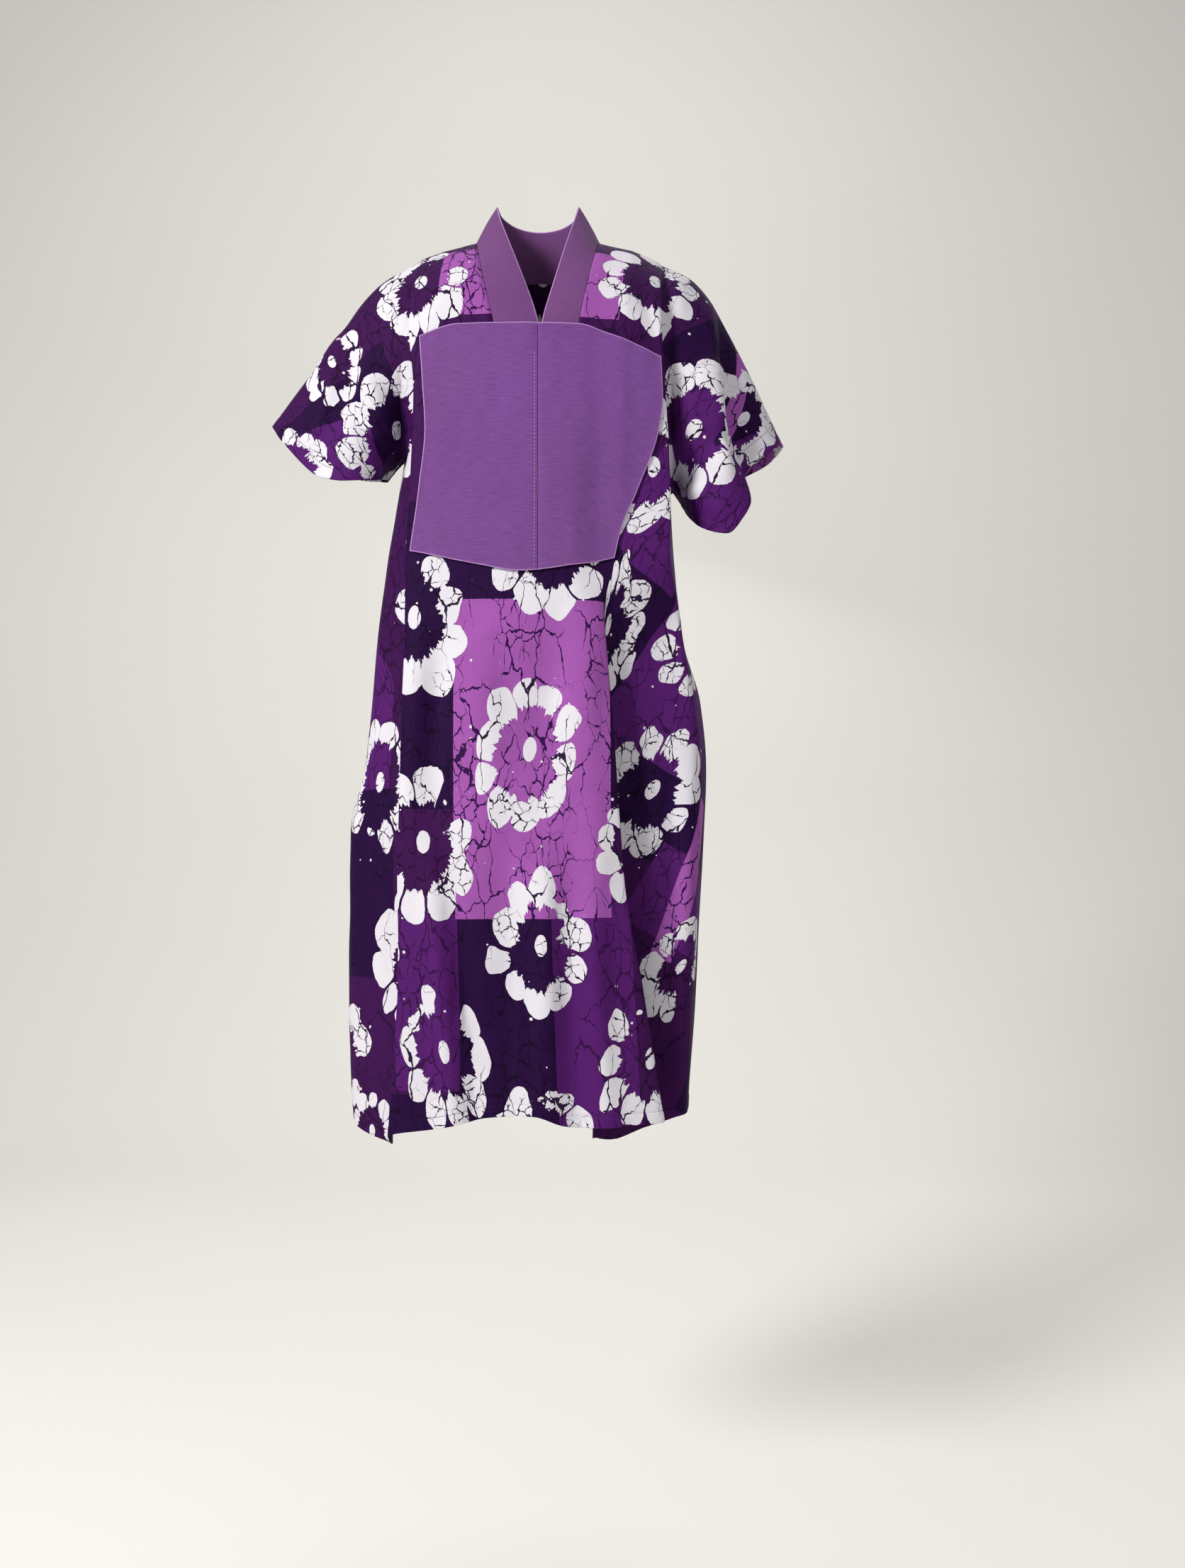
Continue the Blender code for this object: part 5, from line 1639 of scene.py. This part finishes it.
def bib_grid(hand):
    down = edge_steps(BIB_FINE_ROWS)
    share = edge_steps(BIB_FINE_COLUMNS)
    seam = seam_shares(down)[:, None]
    across = share[None, :] * seam if hand < 0 else seam + share[None, :] * (1 - seam)
    d = np.broadcast_to(down[:, None], across.shape)
    places = bib_places(across.ravel(), d.ravel())
    station, row = chest_places(places[:, 0], places[:, 1])
    points = lifted(station, row, BIB_LIFT).reshape(across.shape + (3,))
    seam_column = -1 if hand < 0 else 0
    points[:, seam_column, 0] += hand * SEAM_GAP / 2
    u, v = arc_lengths(points, 1), arc_lengths(points, 0)
    if hand < 0:
        u = u - u[:, -1:]
    outer = u - u[:, :1] if hand < 0 else u[:, -1:] - u
    edge = np.minimum(np.minimum(v, v[-1:] - v), outer)
    from_seam = np.abs(u)
    out = facing(points)
    out *= -np.sign(np.mean(out[..., 1]))
    height, size, seed = BIB_RIPPLE
    lift = BIB_EDGE_ROLL * np.exp(-((edge / BIB_ROLL_WIDTH) ** 2))
    lift -= BIB_SEAM_DIP * np.exp(-((from_seam / BIB_SEAM_DIP_WIDTH) ** 2))
    lift += height * (ripple(points, size, seed) + BIB_RIPPLE_MEAN) * ease(from_seam / BIB_RIPPLE_FROM)
    lift -= TOPSTITCH_DIP * np.exp(-(((from_seam - TOPSTITCH_IN) / TOPSTITCH_WIDTH) ** 2)) * (hand < 0)
    points = points + out * lift[..., None]
    return {"points": points, "u": u, "v": v, "edge": edge, "from_seam": from_seam, "out": out}


def collar_path():
    """Base and top edges of the collar, from the left front end round the back to the right end."""
    rows = fine_rows(FRONT_NECK_ROW)[::-1]
    fronts = {}
    for hand, name in ((-1, "neck_left"), (1, "neck_right")):
        base = body_points(-1, np.full(len(rows), STATION[name]), rows)
        x, y, z = by_height(COLLAR_TOP[::-1], base[:, 2])
        shift = COLLAR_CENTRE_X * (1 - ease((z - COLLAR_TOP[1][3]) / COLLAR_RISE))
        fronts[hand] = (base, np.stack([hand * (x + COLLAR_HALF_GAP) + shift, y, z], axis=-1))
    side_rows = fine_rows(BACK_NECK_ROW)[1:]
    left, right = STATION["neck_left"], STATION["neck_right"]
    stations = spread(BACK_COLUMNS, UPPER_FINER)
    stations = stations[(stations > left + 1e-6) & (stations < right - 1e-6)]
    station = np.concatenate([np.full(len(side_rows), left), stations, np.full(len(side_rows), right)])
    row = np.concatenate([side_rows, np.full(len(stations), UPPER_ROWS[BACK_NECK_ROW]), side_rows[::-1]])
    base = body_points(1, station, row)
    turn = np.arctan2(base[:, 1], base[:, 0])
    side_x, side_y, side_z = COLLAR_SHOULDER
    back = np.sin(turn)
    top = np.stack([side_x * np.cos(turn), side_y * (1 - back) + COLLAR_BACK_Y * back,
                    side_z + (COLLAR_BACK_Z - side_z) * back**2], axis=-1)
    outer = np.concatenate([fronts[-1][0], base, fronts[1][0][::-1]])
    inner = np.concatenate([fronts[-1][1], top, fronts[1][1][::-1]])
    for end in (0, -1):
        outer[end, 2] += COLLAR_END_GAP
    return outer, inner


COLLAR_SHELL = 0.0016
COLLAR_FINE_ROWS = 20
COLLAR_SOFTER = 14      # passes that ease the collar's corners away from its seam
COLLAR_SOFT_FROM = 0.5  # in full from this share of its width
COLLAR_MIDDLE = (0.0, -0.02, 0.0)       # the collar faces away from here
COLLAR_BULGE = 0.0016
COLLAR_RIPPLE = (0.0008, 0.030, 21.0)   # height, size and seed
COLLAR_RIPPLE_FROM = 0.2        # it grows over this share of the width
COLLAR_EDGE_FLAT = 0.004        # bulge and ripple end over this distance from the top edge


def collar_grid():
    outer, inner = collar_path()
    way = inner - outer
    width = np.linalg.norm(way, axis=-1, keepdims=True)
    start = outer + way / width * COLLAR_SEAM
    share = edge_steps(COLLAR_FINE_ROWS)
    points = start[None] + (inner - start)[None] * share[:, None, None]
    soft = ease(share / COLLAR_SOFT_FROM)[:, None, None]
    for _ in range(COLLAR_SOFTER):
        even = (points[:, :-2] + points[:, 1:-1] * 2 + points[:, 2:]) / 4
        points[:, 1:-1] += (even - points[:, 1:-1]) * soft
    out = facing(points)
    out *= np.sign(np.nansum(out * (points - np.array(COLLAR_MIDDLE)), axis=-1, keepdims=True) + 1e-9)
    u, v = arc_lengths(points, 1), arc_lengths(points, 0)
    edge = v[-1:] - v
    across = v / np.maximum(v[-1:], 1e-6)
    height, size, seed = COLLAR_RIPPLE
    lift = COLLAR_BULGE * np.sin(across * math.pi)
    lift += height * ripple(points, size, seed) * ease(across / COLLAR_RIPPLE_FROM)
    points = points + out * (lift * ease(edge / COLLAR_EDGE_FLAT))[..., None]
    return {"points": points, "u": v, "v": u, "edge": edge}


HEM_STITCH = (0.0036, 0.0026, 0.00028)  # from one to the next, length and radius
BIB_STITCH = (0.0042, 0.0027, 0.00032)
BIB_STITCHED = slice(14, -2)            # rows of the bib's grid that the stitches run over
STITCH_SIDES = 6
STITCH_RINGS = (
    # along  girth
    (-0.50, 0.25),
    (-0.36, 0.80),
    ( 0.00, 1.00),
    ( 0.36, 0.80),
    ( 0.50, 0.25),
)
STITCH_SINK = 0.9       # share of its thinning by which a stitch's end lies lower


def stitch_object(name, lines, stitch, lift):
    """Stitches along lines of cloth points and facings: small round-ended grains."""
    pitch, length, radius = stitch
    sides = range(STITCH_SIDES)
    verts, faces = [], []
    for path, out in lines:
        far = np.concatenate([[0], np.cumsum(np.linalg.norm(np.diff(path, axis=0), axis=1))])

        def at(place, values):
            return np.array([np.interp(place, far, values[:, k]) for k in range(3)])

        for place in np.arange(pitch * 0.5, far[-1] - pitch * 0.5, pitch):
            along = at(place + length / 2, path) - at(place - length / 2, path)
            along /= np.linalg.norm(along)
            up = at(place, out)
            up -= along * up.dot(along)
            up /= np.linalg.norm(up)
            over = np.cross(along, up)
            first = len(verts)
            for share, girth in STITCH_RINGS:
                height = lift - radius * STITCH_SINK * (1 - girth)
                base = at(place, path) + up * height + along * share * length
                for k in sides:
                    angle = 2 * math.pi * k / STITCH_SIDES
                    verts.append(base + (up * math.cos(angle) + over * math.sin(angle)) * radius * girth)
            last = len(verts) - STITCH_SIDES
            for ring in range(first, last, STITCH_SIDES):
                for k in sides:
                    a, b = ring + k, ring + (k + 1) % STITCH_SIDES
                    faces.append((a, b, b + STITCH_SIDES, a + STITCH_SIDES))
            faces.append(tuple(first + k for k in reversed(sides)))
            faces.append(tuple(last + k for k in sides))
    return new_object(name, new_mesh(name, verts, faces))


def hem_lines(grid):
    """The stitched lines of a panel's hem and two cuffs: their points and facings."""
    inward = len(HEM_STEPS) - HEM_STEPS.index(HEM_WIDTH)
    body = slice(grid["sleeves"] + 1, -grid["sleeves"] - 1)
    rows = slice(1, grid["top_rows"] - 1)
    return [(grid["points"][line], grid["out"][line])
            for line in ((-1 - inward, body), (rows, inward), (rows, -1 - inward))]


# ---------------------------------------------------------------- making the robe
COLLAR_CREPE = (0.150, 0.054, 0.190), 0.45      # colour, and crinkle: depth of the ridges' bump and of the painted light and shade on them
BIB_CREPE = (0.160, 0.058, 0.244), 0.75
DARK_THREAD = (0.055, 0.018, 0.085)
PALE_THREAD = (0.50, 0.33, 0.58)


def panel_piece(grid, name, node, chart):
    flowers, blocks = chart
    thin = np.where(grid["hem"] <= HEM_WIDTH, 1.0, SINGLE_CLOTH)
    piece = grid_object(name, grid["points"], {"cloth": np.dstack([grid["u"], grid["v"]])}, flowers, thin,
                        flip=grid["side"] > 0)
    add_wall(piece, SHELL, "doubled")
    piece.data.materials.append(batik_material(name + "_print", blocks, flower_nodes))
    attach(piece, "root")
    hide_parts(node)
    return piece


def crepe_piece(grid, name, node, thickness, cloth):
    maps = {"cloth": np.dstack([grid["u"], grid["v"]]), "edge": np.dstack([grid["edge"], grid["edge"]])}
    piece = grid_object(name, grid["points"], maps)
    add_wall(piece, thickness)
    piece.data.materials.append(cloth)
    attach(piece, "root")
    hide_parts(node)
    return piece


flower_nodes = petal_group()
front_grid = finish_panel(panel_grid(-1))
back_grid = finish_panel(panel_grid(1))
front = panel_piece(front_grid, "front", "front_panel", front_chart(front_grid))
back = panel_piece(back_grid, "back", "back_panel", back_chart())

collar_cloth = crepe_material("collar_crepe", *COLLAR_CREPE)
collar = crepe_piece(collar_grid(), "collar", "collar_band", COLLAR_SHELL, collar_cloth)
bib_cloth = crepe_material("bib_crepe", *BIB_CREPE)
right_grid = bib_grid(-1)
bib_right = crepe_piece(right_grid, "bib_right_crepe", "bib_right", BIB_SHELL, bib_cloth)
bib_left = crepe_piece(bib_grid(1), "bib_left_crepe", "bib_left", BIB_SHELL, bib_cloth)

column = int(np.argmin(np.abs(right_grid["from_seam"][BIB_FINE_ROWS // 2] - TOPSTITCH_IN)))
bib_line = right_grid["points"][BIB_STITCHED, column], right_grid["out"][BIB_STITCHED, column]
front_stitches = stitch_object("front_stitches", hem_lines(front_grid), HEM_STITCH, SHELL / 2)
back_stitches = stitch_object("back_stitches", hem_lines(back_grid), HEM_STITCH, SHELL / 2)
bib_stitches = stitch_object("bib_stitches", [bib_line], BIB_STITCH, BIB_SHELL / 2)
dark_thread = plain_material("dark_thread", DARK_THREAD, "thread")
pale_thread = plain_material("pale_thread", PALE_THREAD, "thread")
for piece, thread in ((front_stitches, dark_thread), (back_stitches, dark_thread),
                      (bib_stitches, pale_thread)):
    piece.data.materials.append(thread)
    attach(piece, "root")

# ---------------------------------------------------------------- stage, light and camera
FLOOR_Z = -1.62
FLOOR_SIZE = 9.0
FLOOR_COLOUR = (0.84, 0.83, 0.80)
SWEEP_Y = 2.2           # where the floor begins to sweep up, and the radius of its bend
SWEEP_RADIUS = 1.2
SWEEP_START = 0.1       # angle of the bend's first step
SWEEP_STEPS = 12
WALL_TOP = 5.0
LIGHTS = (
    # name    place             target           size power colour
    ("key",  (-2.1, -2.3, 0.9), (0, 0, -0.55),   1.0, 112, (1.0, 0.985, 0.96)),
    ("fill", (1.9, -2.3, 0.1),  (0, 0, -0.6),    2.0,  13, (0.97, 0.98, 1.0)),
    ("rear", (0.6, 2.4, 1.6),   (0, 0, -0.5),    2.4,  30, (1.0, 0.99, 0.97)),
    ("wall", (0.0, 1.0, 2.6),   (0, 3.4, -0.6),  2.4,  22, (1.0, 0.98, 0.95)),
)
WORLD_COLOUR = (0.86, 0.86, 0.84, 1)
WORLD_STRENGTH = 0.42
SENSOR = 36.0
PHOTO_HEIGHT = 2212     # in the photo's pixels, as the next two
FOCAL_LENGTH = 1840
EYE_LEVEL = 1250        # below the photo's top


def floor():
    """A pale floor that sweeps up far behind the robe."""
    profile = [(-FLOOR_SIZE, 0.0), (SWEEP_Y, 0.0)]
    profile += [(SWEEP_Y + SWEEP_RADIUS * math.sin(a), SWEEP_RADIUS - SWEEP_RADIUS * math.cos(a))
                for a in np.linspace(SWEEP_START, math.pi / 2, SWEEP_STEPS)]
    profile += [(SWEEP_Y + SWEEP_RADIUS, WALL_TOP)]
    verts = [(x, y, FLOOR_Z + z) for y, z in profile for x in (-FLOOR_SIZE, FLOOR_SIZE)]
    faces = [(2 * i, 2 * i + 1, 2 * i + 3, 2 * i + 2) for i in range(len(profile) - 1)]
    made = new_object("floor", new_mesh("floor", verts, faces))
    made.data.materials.append(plain_material("pale_floor", FLOOR_COLOUR, "floor"))


def area_light(name, place, target, size, power, colour):
    data = bpy.data.lights.new(name, "AREA")
    data.shape = "DISK"
    data.size = size
    data.energy = power
    data.color = colour
    lamp = new_object(name, data)
    lamp.location = place
    lamp.rotation_euler = (Vector(target) - Vector(place)).to_track_quat("-Z", "Y").to_euler()


floor()
for light in LIGHTS:
    area_light(*light)
world = bpy.data.worlds.new("studio")
world.use_nodes = True
background = world.node_tree.nodes["Background"]
background.inputs["Color"].default_value = WORLD_COLOUR
background.inputs["Strength"].default_value = WORLD_STRENGTH
scene = bpy.context.scene
scene.world = world
scene.view_settings.view_transform = "Standard"

view = bpy.data.cameras.new("view")
view.sensor_width = SENSOR
view.lens = SENSOR * FOCAL_LENGTH / PHOTO_HEIGHT
view.shift_y = (EYE_LEVEL - PHOTO_HEIGHT / 2) / PHOTO_HEIGHT
camera = new_object("view", view)
camera.location = CAMERA
camera.rotation_euler = (math.radians(90), 0, 0)
scene.camera = camera
